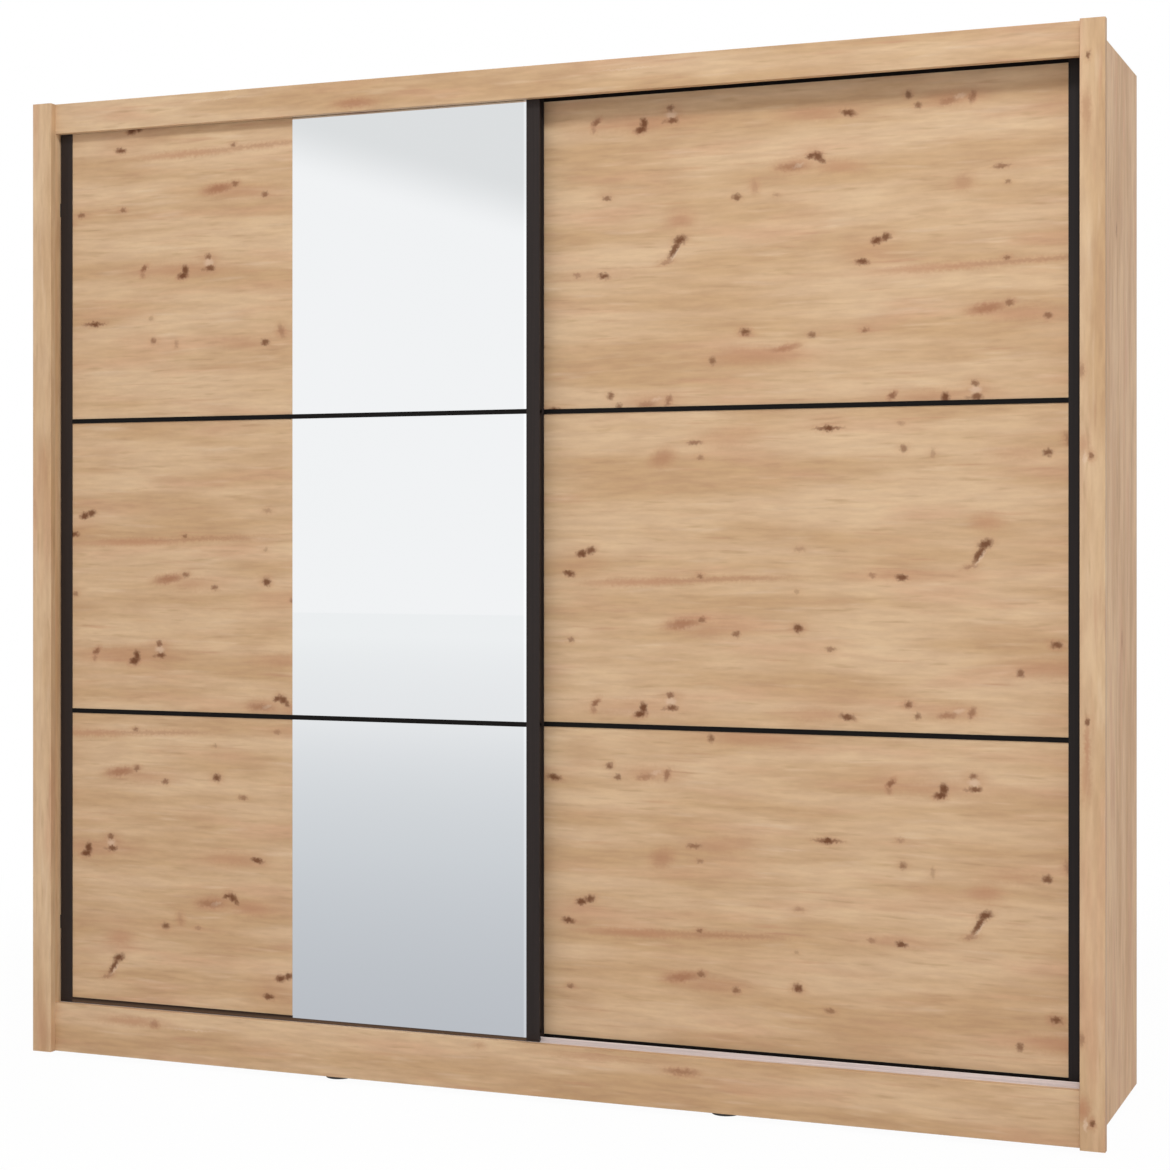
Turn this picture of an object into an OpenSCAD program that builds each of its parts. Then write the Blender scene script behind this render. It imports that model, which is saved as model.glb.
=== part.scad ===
// Two-door sliding wardrobe: a board carcass with three bays behind two doors in slim metal frames.
// X runs to the right, Y to the back, Z up. The origin is on the floor under the middle.

/* [Overall] */
// Width over the two front stiles
overall_w = 2400; // [2000:10:2800]
// Depth from the stiles' front to the back panels
overall_d = 600; // [560:5:700]
// Height of the carcass, from the stiles' lower end to their upper end
carcass_h = 2140; // [1900:10:2400]
// Height of the carcass above the floor
foot_h = 12; // [8:1:20]

/* [Boards] */
// Thickness of the carcass boards
board_t = 16; // [15:1:19]
// Thickness of the back panels
back_t = 3; // [2.5:0.5:5]
// Gap between two neighbouring back panels
back_gap = 1; // [0.5:0.5:2]
// Thickness of the front stiles
stile_t = 18; // [15:1:22]
// Width of the front stiles
stile_w = 48; // [36:1:80]
// Height of the fascia
fascia_h = 67; // [60:1:120]
// Height of the plinth, up to the bottom panel's top
plinth_h = 107; // [90:1:160]
// How far the plinth stands above the bottom panel's top
plinth_rise = 1.5; // [0:0.5:2]
// Distance from the middle to each partition's centre plane
partition_x = 442; // [350:1:520]
// Gap between the tracks and the partitions
partition_gap = 3; // [2:1:20]
// Chamfer of the front boards' banded edges
edge_chamfer = 0.8; // [0.4:0.1:1.5]

/* [Shelves] */
// Setback of the shelves behind the partitions' front edges
shelf_setback = 10; // [5:1:40]
// Clearance at each end of a shelf
shelf_gap = 0.5; // [0.3:0.1:2]
// Clear height above the hat shelves
hat_shelf_space = 300; // [220:10:420]
// Distance of the shelf supports from the shelf's front and back edges
support_inset = 60; // [40:5:120]
// Radius of a shelf support's pin
support_pin_r = 2.5; // [2:0.5:3]
// Depth of a shelf support's pin in the board
support_pin_l = 7; // [5:0.5:7.5]
// Side of a shelf support's square tab
support_tab = 10; // [8:1:14]
// Thickness of a shelf support's tab
support_tab_t = 3; // [2:0.5:5]
// Clearance of a shelf support's pin in its bore
support_pin_gap = 0.05; // [0.03:0.01:0.1]

/* [Hanging rails] */
// Outer radius of the hanging rails
hang_rail_r = 12.5; // [10:0.5:16]
// Wall of the hanging rails
hang_rail_wall = 1.5; // [1:0.5:2.5]
// Distance of the hanging rails' axis below the hat shelves
hang_rail_drop = 45; // [35:1:70]
// Radius of a rail socket's flange
socket_flange_r = 24; // [20:1:30]
// Thickness of a rail socket's flange
socket_flange_t = 3; // [2:0.5:5]
// Thickness of a rail socket's collar
socket_collar_t = 2.4; // [1.5:0.1:4]
// Length of a rail socket's collar
socket_collar_l = 12; // [8:1:20]
// Clearance of a hanging rail in its socket
socket_gap = 0.3; // [0.2:0.05:0.6]

/* [Doors] */
// Depth of the door frames
door_t = 24; // [22:0.5:30]
// Gap between the planes of the two doors
door_gap = 7; // [4:0.5:12]
// Gap between the fascia and the front door
door_front_gap = 2; // [1:0.5:5]
// Gap between a door and the side panel next to it
door_side_gap = 3; // [2:0.5:6]
// Gap between the bottom panel and the doors
door_bottom_gap = 2.5; // [2.4:0.1:5]
// Gap between the doors and the top track
door_top_gap = 3; // [3:0.5:8]
// Overlap of the two closed doors
door_overlap = 58; // [40:1:90]
// Width of the vertical profiles
profile_w = 30; // [24:1:40]
// Depth of the rebate along a profile's outer side
profile_rebate = 3.5; // [2:0.5:5]
// Depth of the profiles' panel groove
groove_d = 8; // [6:0.5:9]
// Wall of the door frame's profiles
profile_wall = 1.5; // [1.2:0.1:1.7]
// Front height of the top and bottom rails
rail_face_h = 11; // [9:0.5:20]
// How far the bottom rail's front lip is cut down in front of the mirror
mirror_lip_cut = 5; // [0:0.5:6]
// How far the front door's top rail is trimmed, so that its lip stays behind the fascia
top_lip_cut = 2; // [0:0.5:4]
// Front height of the dividers
divider_h = 10; // [8:0.5:20]
// Height of the bottom rail's chamber behind the panel
chamber_h = 34; // [33:1:50]
// Thickness of the door panels
panel_t = 8; // [7:0.5:8.2]
// Thickness of the mirrors and of the wood panels beside them
facing_t = 4; // [3:0.5:5]
// Clearance of a panel to each groove wall
groove_gap = 0.15; // [0.1:0.05:0.3]
// Clearance of a panel's edge to the groove's floor
edge_gap = 0.25; // [0.1:0.05:0.5]
// Width of the mirrors' visible part
mirror_w = 554; // [400:1:650]
// Gap between a mirror and the wood panel beside it
facing_gap = 0.2; // [0.1:0.1:1]

/* [Rollers] */
// Rolling radius in the roller's groove
roller_r = 9; // [8:0.5:9.5]
// Depth of the roller's groove
roller_groove = 2; // [1:0.1:2]
// Width of a roller
roller_w = 7; // [6:0.5:7]
// Radius of the roller's axle
axle_r = 2.5; // [2:0.5:3.5]
// Running clearance between axle and roller
axle_gap = 0.05; // [0.03:0.01:0.1]
// Thickness of a roller cage's cheeks
cage_t = 1.2; // [1:0.1:1.5]
// Gap between a roller and its cage's cheeks
cage_gap = 0.6; // [0.4:0.1:0.7]
// Length of a roller cage
cage_l = 30; // [26:1:60]
// Distance of a roller's axle from the door's vertical profile
roller_inset = 60; // [40:5:200]
// Running gap between the moving pieces and what they run on
run_gap = 0.3; // [0.2:0.05:0.4]
// Radius of the screws that set the height of a roller cage
height_screw_r = 2.5; // [2:0.1:3]
// Clearance of a height screw in the bottom rail
height_screw_gap = 0.2; // [0.1:0.05:0.4]
// Radius of a height screw's head
screw_head_r = 4.4; // [4:0.1:4.8]
// Height of a height screw's head
screw_head_h = 3; // [2:0.5:5]
// Across flats of the hexagon socket in a height screw's head
screw_hex = 4; // [3:0.5:5]
// Depth of that hexagon
screw_hex_depth = 2; // [1.5:0.1:2.2]
// Distance of the two height screws of a cage from its middle
screw_spread = 9; // [8:1:10]

/* [Tracks] */
// Thickness of the tracks' base and walls
track_t = 1.5; // [1.2:0.1:1.7]
// Height of the bottom track's ribs above the bottom panel
rib_h = 10; // [8:0.5:11]
// Radius of the ribs' round top
rib_r = 2; // [1.8:0.1:2.2]
// Gap between a rib and the notch that it passes through in the doors' vertical profiles
rib_gap = 1.2; // [1:0.1:2]
// Width of the slot under each rib
rib_slot_w = 1.4; // [1:0.1:1.8]
// Depth of the slot under each rib
rib_slot_h = 7; // [4:0.5:7]
// Height of the top track
top_track_h = 38; // [30:1:50]
// Gap between the tracks' ends and the side panels
track_end_gap = 0.5; // [0.3:0.1:2]
// Margin of the bottom track behind the rear door
track_margin = 6; // [4:1:20]
// Length of a top guide's straight part
guide_l = 30; // [20:1:60]
// Gap between a top guide and the top track's walls
guide_gap = 0.4; // [0.3:0.1:1]
// Thickness of a top guide's foot
guide_foot_t = 2; // [1.5:0.1:2]
// Height of a top guide's block
guide_h = 26; // [18:1:27]
// Width of a top guide's stem
guide_stem_w = 10; // [8:0.5:14]
// Distance of a top guide from the door's vertical profile
guide_inset = 60; // [40:5:200]
// Height of a door bumper
bumper_h = 30; // [20:1:60]
// Distance of the bumpers from the doors' ends
bumper_inset = 180; // [100:10:400]

/* [Feet and fittings] */
// Radius of an adjustable leg's foot
leg_r = 30; // [20:0.5:34]
// Height of an adjustable leg's foot
leg_pad_h = 10; // [8:1:12]
// Chamfer of the feet's edges
foot_chamfer = 1; // [0.5:0.1:2]
// Radius of a leg's threaded stem
leg_stem_r = 7; // [5:0.5:10]
// Radius of the socket that the stem turns into
leg_cup_r = 15; // [12:0.5:17]
// Height of the socket's lower end above the floor
leg_cup_z = 46; // [30:1:60]
// Thickness of a leg's fixing plate
leg_plate_t = 4; // [3:0.5:6]
// How far a leg's fixing plate stands out beyond its foot
leg_plate_lip = 6; // [2:1:8]
// Gap between the plinth and the front legs
leg_plinth_gap = 13; // [10:1:30]
// Distance of the rear legs' axis from the back
leg_rear_inset = 66; // [60:1:120]
// How far the legs stand to the left of the partitions' middle
leg_shift = 18; // [0:1:30]
// Width of the glides under the side panels, flush with the panels' inner faces
glide_w = 7; // [5:0.5:8]
// Length of a glide
glide_l = 40; // [30:1:60]
// Distance of the first and last glide's middle from the side panel's ends
glide_inset = 100; // [80:1:140]
// Radius of a cam fitting
cam_r = 7.4; // [7:0.1:7.45]
// Radius of the pocket that holds a cam fitting
cam_pocket_r = 7.5; // [7.5:0.1:8]
// Depth of a cam fitting's pocket
cam_depth = 12.5; // [10:0.5:13]
// Distance of a cam fitting from the board's end
cam_inset = 24; // [20:1:34]
// Distance of the first and last cam fitting from the board's long edges
cam_edge = 48; // [40:1:80]
// Width and depth of the slot in a cam fitting
cam_slot = 2.5; // [1.5:0.1:3]

/* [Hidden] */
$fn = 48;

eps = 0.01;
shelf_count = 4; // in the left bay, one node each
oak = [0.78, 0.64, 0.49];
inner_oak = [0.74, 0.61, 0.47];
hardboard = [0.86, 0.82, 0.74];
dark_metal = [0.16, 0.14, 0.13];
pale_metal = [0.80, 0.76, 0.72];
mirror_silver = [0.90, 0.91, 0.92];
dark_plastic = [0.22, 0.21, 0.21];
pale_plastic = [0.88, 0.88, 0.85];
zinc = [0.66, 0.67, 0.68];

// Levels
base_z = foot_h;
top_z = foot_h + carcass_h;
floor_z = base_z + plinth_h;
ceiling_z = top_z - board_t;

// Depths, from the stiles' front to the back
front_y = -overall_d / 2;
back_y = overall_d / 2;
board_back_y = back_y - back_t;
side_front_y = front_y + stile_t;
fascia_back_y = side_front_y + board_t;
front_door_y = fascia_back_y + door_front_gap;
rear_door_y = front_door_y + door_t + door_gap;
track_front_y = front_door_y;
track_back_y = rear_door_y + door_t + track_margin;
bay_front_y = track_back_y + partition_gap;

// Widths
outer_x = overall_w / 2;
inner_x = outer_x - stile_w;
side_outer_x = inner_x + board_t;
middle_bay_x = partition_x - board_t / 2;
side_bay_x = partition_x + board_t / 2;

// Doors
door_w = inner_x - door_side_gap + door_overlap / 2;
door_z = floor_z + door_bottom_gap;
top_track_z = ceiling_z - top_track_h;
door_h = top_track_z - door_top_gap - door_z;
panel_h = (door_h - 2 * rail_face_h - 2 * divider_h) / 3;
left_door_x = -inner_x + door_side_gap;
right_door_x = inner_x - door_side_gap - door_w;
groove_w = panel_t + 2 * groove_gap;
groove_back = profile_wall + groove_w;
chamber_front = groove_back + profile_wall;
roller_y = (chamber_front + door_t - profile_wall) / 2;
rib_top_z = floor_z + rib_h;
axle_z = rib_top_z + run_gap + roller_r - door_z;
outer_roller_x = profile_w + roller_inset;
inner_roller_x = door_w - profile_w - roller_inset;
panel_y = profile_wall + groove_gap;
panel_x = profile_w - groove_d + edge_gap;
web_bite = (divider_h - profile_wall) / 2 - edge_gap;
rail_bite = rail_face_h - profile_wall - edge_gap;
facing_split_x = door_w - profile_w - mirror_w;
panel_steps = [0, 1, 2];

// Shelves
shelf_pitch = (ceiling_z - floor_z + board_t) / (shelf_count + 1);
hat_shelf_z = ceiling_z - hat_shelf_space - board_t;
low_shelf_z = floor_z + shelf_pitch - board_t;
rail_y = (bay_front_y + board_back_y) / 2;
rail_z = hat_shelf_z - hang_rail_drop;

function left_shelf_z(i) = floor_z + i * shelf_pitch - board_t;

// A box between two corners
module block(low, high) {
    translate(low) cube(high - low);
}

// ---- Carcass ----

// Bores for the shelf supports' pins in a board's face at x, on the side that dir points to
module support_bores(x, dir, shelf_z) {
    for (y = support_ys())
        translate([x, y, shelf_z - support_tab_t - support_pin_r])
            rotate([0, -dir * 90, 0])
                translate([0, 0, -eps])
                    cylinder(r = support_pin_r, h = support_pin_l + eps);
}

function support_ys() = [
    bay_front_y + shelf_setback + support_inset,
    board_back_y - support_inset
];

// The board faces that carry shelves: [face x, side the bay lies on, shelf's underside]
function left_bay_supports() = [
    for (i = [1:shelf_count], side = [-1, 1])
        [side < 0 ? -inner_x : -side_bay_x, -side, left_shelf_z(i)]
];
function middle_bay_supports() = [
    for (side = [-1, 1]) [side * middle_bay_x, -side, hat_shelf_z]
];
function right_bay_supports() = [
    for (z = [low_shelf_z, hat_shelf_z], side = [-1, 1])
        [side < 0 ? side_bay_x : inner_x, -side, z]
];
function all_supports() = concat(left_bay_supports(), middle_bay_supports(), right_bay_supports());

// Cuts the support bores that reach into a board standing between x0 and x1
module drilled_board(x0, x1) {
    difference() {
        children();
        for (s = all_supports())
            if (s[0] > x0 - eps && s[0] < x1 + eps)
                support_bores(s[0], s[1], s[2]);
    }
}

module side_panel(side) {
    x0 = side < 0 ? -side_outer_x : inner_x;
    color(oak)
        drilled_board(x0, x0 + board_t)
            block([x0, side_front_y, base_z], [x0 + board_t, board_back_y, top_z]);
}

module side_panel_left() { side_panel(-1); }
module side_panel_right() { side_panel(1); }

module partition(side) {
    x0 = side * partition_x - board_t / 2;
    color(inner_oak)
        drilled_board(x0, x0 + board_t)
            block([x0, bay_front_y, floor_z], [x0 + board_t, board_back_y, ceiling_z]);
}

module partition_left() { partition(-1); }
module partition_right() { partition(1); }

function cam_ys() = [
    track_back_y + cam_edge,
    rail_y,
    board_back_y - cam_edge
];

// Places its children at every cam fitting in a panel whose underside is at z
module at_cams(z) {
    for (side = [-1, 1], y = cam_ys())
        translate([side * (inner_x - cam_inset), y, z])
            children();
}

module carcass_panel(z) {
    color(inner_oak)
        difference() {
            block([-inner_x, fascia_back_y, z], [inner_x, board_back_y, z + board_t]);
            at_cams(z)
                translate([0, 0, -eps])
                    cylinder(r = cam_pocket_r, h = cam_depth + eps);
        }
}

module top_panel() { carcass_panel(ceiling_z); }
module bottom_panel() { carcass_panel(floor_z - board_t); }

module cam_fittings() {
    color(zinc)
        for (z = [ceiling_z, floor_z - board_t])
            at_cams(z)
                difference() {
                    cylinder(r = cam_r, h = cam_depth);
                    translate([-cam_r, -cam_slot / 2, -eps]) cube([2 * cam_r, cam_slot, cam_slot]);
                }
}

module back_panel(x0, x1) {
    color(hardboard)
        block([x0, board_back_y, base_z], [x1, back_y, top_z]);
}

module back_panel_left() { back_panel(-side_outer_x, -partition_x - back_gap / 2); }
module back_panel_middle() { back_panel(-partition_x + back_gap / 2, partition_x - back_gap / 2); }
module back_panel_right() { back_panel(partition_x + back_gap / 2, side_outer_x); }

// Section of a front board w wide and t thick. Both long front edges are banded and chamfered.
module banded_section(w, t) {
    e = edge_chamfer;
    polygon([[0, t], [0, e], [e, 0], [w - e, 0], [w, e], [w, t]]);
}

module stile(side) {
    x0 = side < 0 ? -outer_x : inner_x;
    color(oak)
        translate([x0, front_y, base_z])
            linear_extrude(height = top_z - base_z)
                banded_section(stile_w, stile_t);
}

module stile_left() { stile(-1); }
module stile_right() { stile(1); }

// A level front board between the side panels, from z0 to z1
module front_rail(z0, z1) {
    color(oak)
        translate([inner_x, side_front_y, z0])
            rotate([0, -90, 0])
                linear_extrude(height = 2 * inner_x)
                    banded_section(z1 - z0, board_t);
}

module fascia() { front_rail(top_z - fascia_h, top_z); }
module plinth() { front_rail(base_z, floor_z + plinth_rise); }

module rear_plinth_rail() {
    color(inner_oak)
        block([-inner_x, board_back_y - board_t, base_z],
              [inner_x, board_back_y, floor_z - board_t]);
}

// An adjustable leg: a foot, a stem, and a socket with its fixing plate under the bottom panel
module leg() {
    leg_h = floor_z - board_t;
    plate_r = leg_r + leg_plate_lip;
    color(dark_plastic)
        rotate_extrude()
            polygon([
                [0, 0], [leg_r - foot_chamfer, 0], [leg_r, foot_chamfer],
                [leg_r, leg_pad_h - foot_chamfer], [leg_r - foot_chamfer, leg_pad_h],
                [leg_stem_r, leg_pad_h], [leg_stem_r, leg_cup_z], [leg_cup_r, leg_cup_z],
                [leg_cup_r, leg_h - leg_plate_t], [plate_r, leg_h - leg_plate_t],
                [plate_r, leg_h], [0, leg_h]
            ]);
}

module legs() {
    front_leg_y = fascia_back_y + leg_plinth_gap + leg_r;
    rear_leg_y = back_y - leg_rear_inset;
    for (side = [-1, 1], y = [front_leg_y, rear_leg_y])
        translate([side * partition_x - leg_shift, y, 0])
            leg();
}

module glides() {
    ys = [side_front_y + glide_inset, (side_front_y + board_back_y) / 2, board_back_y - glide_inset];
    color(dark_plastic)
        for (side = [-1, 1], y = ys)
            translate([side * (inner_x + glide_w / 2), y + glide_l / 2, 0])
                rotate([90, 0, 0])
                    linear_extrude(height = glide_l)
                        polygon([
                            [-glide_w / 2, foot_chamfer], [foot_chamfer - glide_w / 2, 0],
                            [glide_w / 2 - foot_chamfer, 0], [glide_w / 2, foot_chamfer],
                            [glide_w / 2, foot_h], [-glide_w / 2, foot_h]
                        ]);
}

// ---- Inside ----

module shelf(x0, x1, z) {
    color(inner_oak)
        block([x0 + shelf_gap, bay_front_y + shelf_setback, z],
              [x1 - shelf_gap, board_back_y, z + board_t]);
}

module left_shelf(i) { shelf(-inner_x, -side_bay_x, left_shelf_z(i)); }
module left_shelf_1() { left_shelf(1); }
module left_shelf_2() { left_shelf(2); }
module left_shelf_3() { left_shelf(3); }
module left_shelf_4() { left_shelf(4); }
module hat_shelf_middle() { shelf(-middle_bay_x, middle_bay_x, hat_shelf_z); }
module hat_shelf_right() { shelf(side_bay_x, inner_x, hat_shelf_z); }
module low_shelf_right() { shelf(side_bay_x, inner_x, low_shelf_z); }

// A pin in the board with a flat tab that the shelf lies on
module shelf_support() {
    color(zinc) {
        translate([0, 0, -support_tab_t - support_pin_r])
            rotate([0, -90, 0])
                cylinder(r = support_pin_r - support_pin_gap, h = support_pin_l);
        translate([0, -support_tab / 2, -support_tab_t - 2 * support_pin_r])
            cube([support_tab_t, support_tab, support_tab_t + 2 * support_pin_r]);
        translate([0, -support_tab / 2, -support_tab_t])
            cube([support_tab, support_tab, support_tab_t]);
    }
}

module shelf_supports() {
    for (s = all_supports(), y = support_ys())
        translate([s[0], y, s[2]])
            mirror([s[1] < 0 ? 1 : 0, 0, 0])
                shelf_support();
}

module hanging_rail(x0, x1) {
    end_gap = socket_flange_t + socket_gap;
    color(zinc)
        translate([x0 + end_gap, rail_y, rail_z])
            rotate([0, 90, 0])
                difference() {
                    cylinder(r = hang_rail_r, h = x1 - x0 - 2 * end_gap);
                    translate([0, 0, -eps])
                        cylinder(r = hang_rail_r - hang_rail_wall, h = x1 - x0);
                }
}

module hanging_rail_middle() { hanging_rail(-middle_bay_x, middle_bay_x); }
module hanging_rail_right() { hanging_rail(side_bay_x, inner_x); }

// A round flange on the board with a collar that holds a hanging rail's end
module rail_socket() {
    collar_in = hang_rail_r + socket_gap;
    rotate([0, 90, 0])
        difference() {
            union() {
                cylinder(r = socket_flange_r, h = socket_flange_t);
                cylinder(r = collar_in + socket_collar_t, h = socket_collar_l);
            }
            translate([0, 0, socket_flange_t])
                cylinder(r = collar_in, h = socket_collar_l);
        }
}

module rail_sockets() {
    faces = [[-middle_bay_x, 0], [middle_bay_x, 1], [side_bay_x, 0], [inner_x, 1]];
    color(zinc)
        for (f = faces)
            translate([f[0], rail_y, rail_z])
                mirror([f[1], 0, 0])
                    rail_socket();
}

// ---- Tracks ----

// A length of extruded section along X between the side panels. The section is drawn in Y and Z.
module track_run() {
    run_l = 2 * (inner_x - track_end_gap);
    translate([-run_l / 2, 0, 0])
        rotate([90, 0, 90])
            linear_extrude(height = run_l)
                children();
}

module rib_section(y) {
    difference() {
        union() {
            translate([y - rib_r, floor_z]) square([2 * rib_r, rib_h - rib_r]);
            translate([y, floor_z + rib_h - rib_r]) circle(r = rib_r);
        }
        translate([y - rib_slot_w / 2, floor_z - eps]) square([rib_slot_w, rib_slot_h + eps]);
    }
}

module bottom_track() {
    ribs = [front_door_y + roller_y, rear_door_y + roller_y];
    color(pale_metal)
        track_run() {
            difference() {
                translate([track_front_y, floor_z]) square([track_back_y - track_front_y, track_t]);
                for (y = ribs)
                    translate([y - rib_slot_w / 2, floor_z - eps]) square([rib_slot_w, track_t + 2 * eps]);
            }
            for (y = ribs) rib_section(y);
        }
}

// The walls of the top track's two channels: [front face, back face] of each
function channel_walls() =
    let (middle = (front_door_y + door_t + rear_door_y) / 2, last = rear_door_y + door_t)
    [
        [front_door_y, front_door_y + track_t],
        [middle - track_t / 2, middle + track_t / 2],
        [last - track_t, last]
    ];

module top_track() {
    walls = channel_walls();
    color(pale_metal)
        track_run() {
            translate([walls[0][0], ceiling_z - track_t]) square([walls[2][1] - walls[0][0], track_t]);
            for (w = walls)
                translate([w[0], top_track_z]) square([w[1] - w[0], top_track_h]);
        }
}

module door_bumpers() {
    pad_t = door_side_gap - run_gap;
    pad_d = door_t - 2 * profile_wall;
    zs = [door_z + bumper_inset, door_z + door_h - bumper_inset];
    color(dark_plastic)
        for (side = [-1, 1], y = [front_door_y, rear_door_y], z = zs)
            translate([side < 0 ? -inner_x : inner_x - pad_t, y + profile_wall / 2, z - bumper_h / 2])
                cube([pad_t, pad_d + profile_wall, bumper_h]);
}

// ---- Door frame sections ----

// Section of a vertical profile in X and Y: a chamber with a finger rebate outside and a panel groove inside
module grip_section() {
    wall = profile_wall;
    floor_x = profile_w - groove_d;
    square([profile_w, wall]);
    translate([floor_x - wall, 0]) square([wall, door_t]);
    translate([floor_x - eps, groove_back]) square([groove_d + eps, wall]);
    translate([0, door_t - wall]) square([floor_x, wall]);
    translate([profile_rebate, 0]) square([wall, door_t]);
}

// A vertical profile. Its lower end is notched for the bottom track's rib.
module grip_profile() {
    notch_w = 2 * (rib_r + rib_gap);
    notch_h = rib_top_z + rib_gap - door_z;
    color(dark_metal)
        difference() {
            linear_extrude(height = door_h) grip_section();
            translate([-eps, roller_y - notch_w / 2, -eps])
                cube([profile_w + 2 * eps, notch_w, notch_h + eps]);
        }
}

// Section of the bottom rail in Y and Z: a panel channel in front and the rollers' chamber behind it
module bottom_rail_section() {
    wall = profile_wall;
    square([wall, rail_face_h]);
    square([chamber_front, wall]);
    translate([groove_back, 0]) square([wall, chamber_h]);
    translate([groove_back, chamber_h - wall]) square([door_t - groove_back, wall]);
    translate([door_t - wall, 2 * wall]) square([wall, chamber_h - 2 * wall]);
}

// Section of the top rail in Y and Z
module top_rail_section() {
    wall = profile_wall;
    square([wall, rail_face_h]);
    translate([0, rail_face_h - wall]) square([door_t, wall]);
    translate([groove_back, 0]) square([wall, rail_face_h]);
    translate([door_t - wall, 0]) square([wall, rail_face_h]);
}

// Section of a divider in Y and Z: an H that holds the panels above and below it
module divider_section() {
    wall = profile_wall;
    square([wall, divider_h]);
    translate([groove_back, 0]) square([wall, divider_h]);
    translate([0, (divider_h - wall) / 2]) square([chamber_front, wall]);
}

// A length of section across the door, between its vertical profiles
module cross_run(z) {
    translate([profile_w, 0, z])
        rotate([90, 0, 90])
            linear_extrude(height = door_w - 2 * profile_w)
                children();
}

// ---- Door pieces, drawn from the door's lower left front corner ----

// Places its children at every height screw, on the underside of the bottom rail's chamber roof
module at_height_screws() {
    for (x = [outer_roller_x, inner_roller_x], side = [-1, 1])
        translate([x + side * screw_spread, roller_y, chamber_h - profile_wall])
            children();
}

module door_bottom_rail() {
    color(dark_metal)
        difference() {
            cross_run(0) bottom_rail_section();
            at_height_screws()
                translate([0, 0, -eps])
                    cylinder(r = height_screw_r + height_screw_gap, h = profile_wall + 2 * eps);
        }
}

module door_top_rail() {
    color(dark_metal) cross_run(door_h - rail_face_h) top_rail_section();
}

module door_dividers() {
    color(dark_metal)
        for (i = [1, 2])
            cross_run(rail_face_h + i * panel_h + (i - 1) * divider_h) divider_section();
}

// Lower and upper edge of panel i, from the bottom
function panel_low(i) =
    rail_face_h + i * (panel_h + divider_h) - (i == 0 ? rail_bite : web_bite);
function panel_high(i) =
    rail_face_h + i * (panel_h + divider_h) + panel_h + (i == 2 ? rail_bite : web_bite);

module door_panel(i, x0, x1, y, t) {
    block([x0, y, panel_low(i)], [x1, y + t, panel_high(i)]);
}

module full_wood_panel(i) {
    color(oak) door_panel(i, panel_x, door_w - panel_x, panel_y, panel_t);
}

module half_wood_panel(i) {
    color(oak) door_panel(i, panel_x, facing_split_x - facing_gap, panel_y, facing_t);
}

module mirror_panel(i) {
    color(mirror_silver) door_panel(i, facing_split_x, door_w - panel_x, panel_y, facing_t);
}

module backing_boards() {
    color(hardboard)
        for (i = panel_steps)
            door_panel(i, panel_x, door_w - panel_x, panel_y + facing_t, panel_t - facing_t);
}

// Places its children at the outer and the inner roller's axle
module at_roller(x) {
    translate([x, roller_y, axle_z])
        rotate([-90, 0, 0])
            children();
}

// A grooved wheel that runs on the bottom track's rib
module roller(x) {
    groove_r = rib_r + run_gap;
    rim_r = roller_r + roller_groove;
    bore_r = axle_r + axle_gap;
    color(pale_plastic)
        at_roller(x)
            rotate_extrude($fn = 96)
                difference() {
                    translate([bore_r, -roller_w / 2]) square([rim_r - bore_r, roller_w]);
                    translate([roller_r + groove_r, 0]) circle(r = groove_r);
                }
}

// A cage under the chamber's roof, with two cheeks and the axle
module roller_cage(x) {
    cage_w = roller_w + 2 * (cage_gap + cage_t);
    cheek_low = axle_z - roller_r - roller_groove;
    roof_z = chamber_h - profile_wall;
    color(zinc) {
        for (side = [-1, 1])
            translate([x - cage_l / 2,
                       roller_y + side * (cage_w - cage_t) / 2 - cage_t / 2,
                       cheek_low])
                cube([cage_l, cage_t, roof_z - cheek_low]);
        translate([x - cage_l / 2, roller_y - cage_w / 2, roof_z - cage_t])
            cube([cage_l, cage_w, cage_t]);
        at_roller(x)
            cylinder(r = axle_r, h = cage_w - eps, center = true);
    }
}

// A screw that hangs from the bottom rail's chamber roof and carries the cage below it
module height_screw() {
    color(zinc) {
        translate([0, 0, -cage_t])
            cylinder(r = height_screw_r, h = cage_t + profile_wall + eps);
        translate([0, 0, profile_wall])
            difference() {
                cylinder(r = screw_head_r, h = screw_head_h);
                translate([0, 0, screw_head_h - screw_hex_depth])
                    cylinder(r = screw_hex / sqrt(3), h = screw_head_h, $fn = 6);
            }
    }
}

module roller_cages() {
    roller_cage(outer_roller_x);
    roller_cage(inner_roller_x);
    at_height_screws() height_screw();
}

// A block with round ends that slides in one channel of the top track.
// The channel lies between y0 and y1, counted from the door's front.
module top_guide(x, y0, y1) {
    guide_w = y1 - y0 - 2 * guide_gap;
    mid_y = (y0 + y1) / 2;
    low_z = door_h + door_top_gap + guide_foot_t;
    high_z = low_z + guide_h;
    color(pale_plastic) {
        translate([x - guide_l / 2, mid_y - guide_w / 2, low_z])
            cube([guide_l, guide_w, high_z - low_z]);
        for (side = [-1, 1])
            translate([x + side * guide_l / 2, mid_y, low_z])
                cylinder(r = guide_w / 2, h = high_z - low_z);
        translate([x - guide_l / 2, (door_t - guide_stem_w) / 2, door_h])
            cube([guide_l, guide_stem_w, low_z - door_h + eps]);
        translate([x - guide_l, profile_wall, door_h])
            cube([2 * guide_l, door_t - 2 * profile_wall, guide_foot_t]);
    }
}

module top_guides(channel, door_y) {
    walls = channel_walls();
    y0 = walls[channel][1] - door_y;
    y1 = walls[channel + 1][0] - door_y;
    for (x = [profile_w + guide_inset, door_w - profile_w - guide_inset])
        top_guide(x, y0, y1);
}

// ---- Left door, in front ----

module on_left_door() {
    translate([left_door_x, front_door_y, door_z]) children();
}

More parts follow.
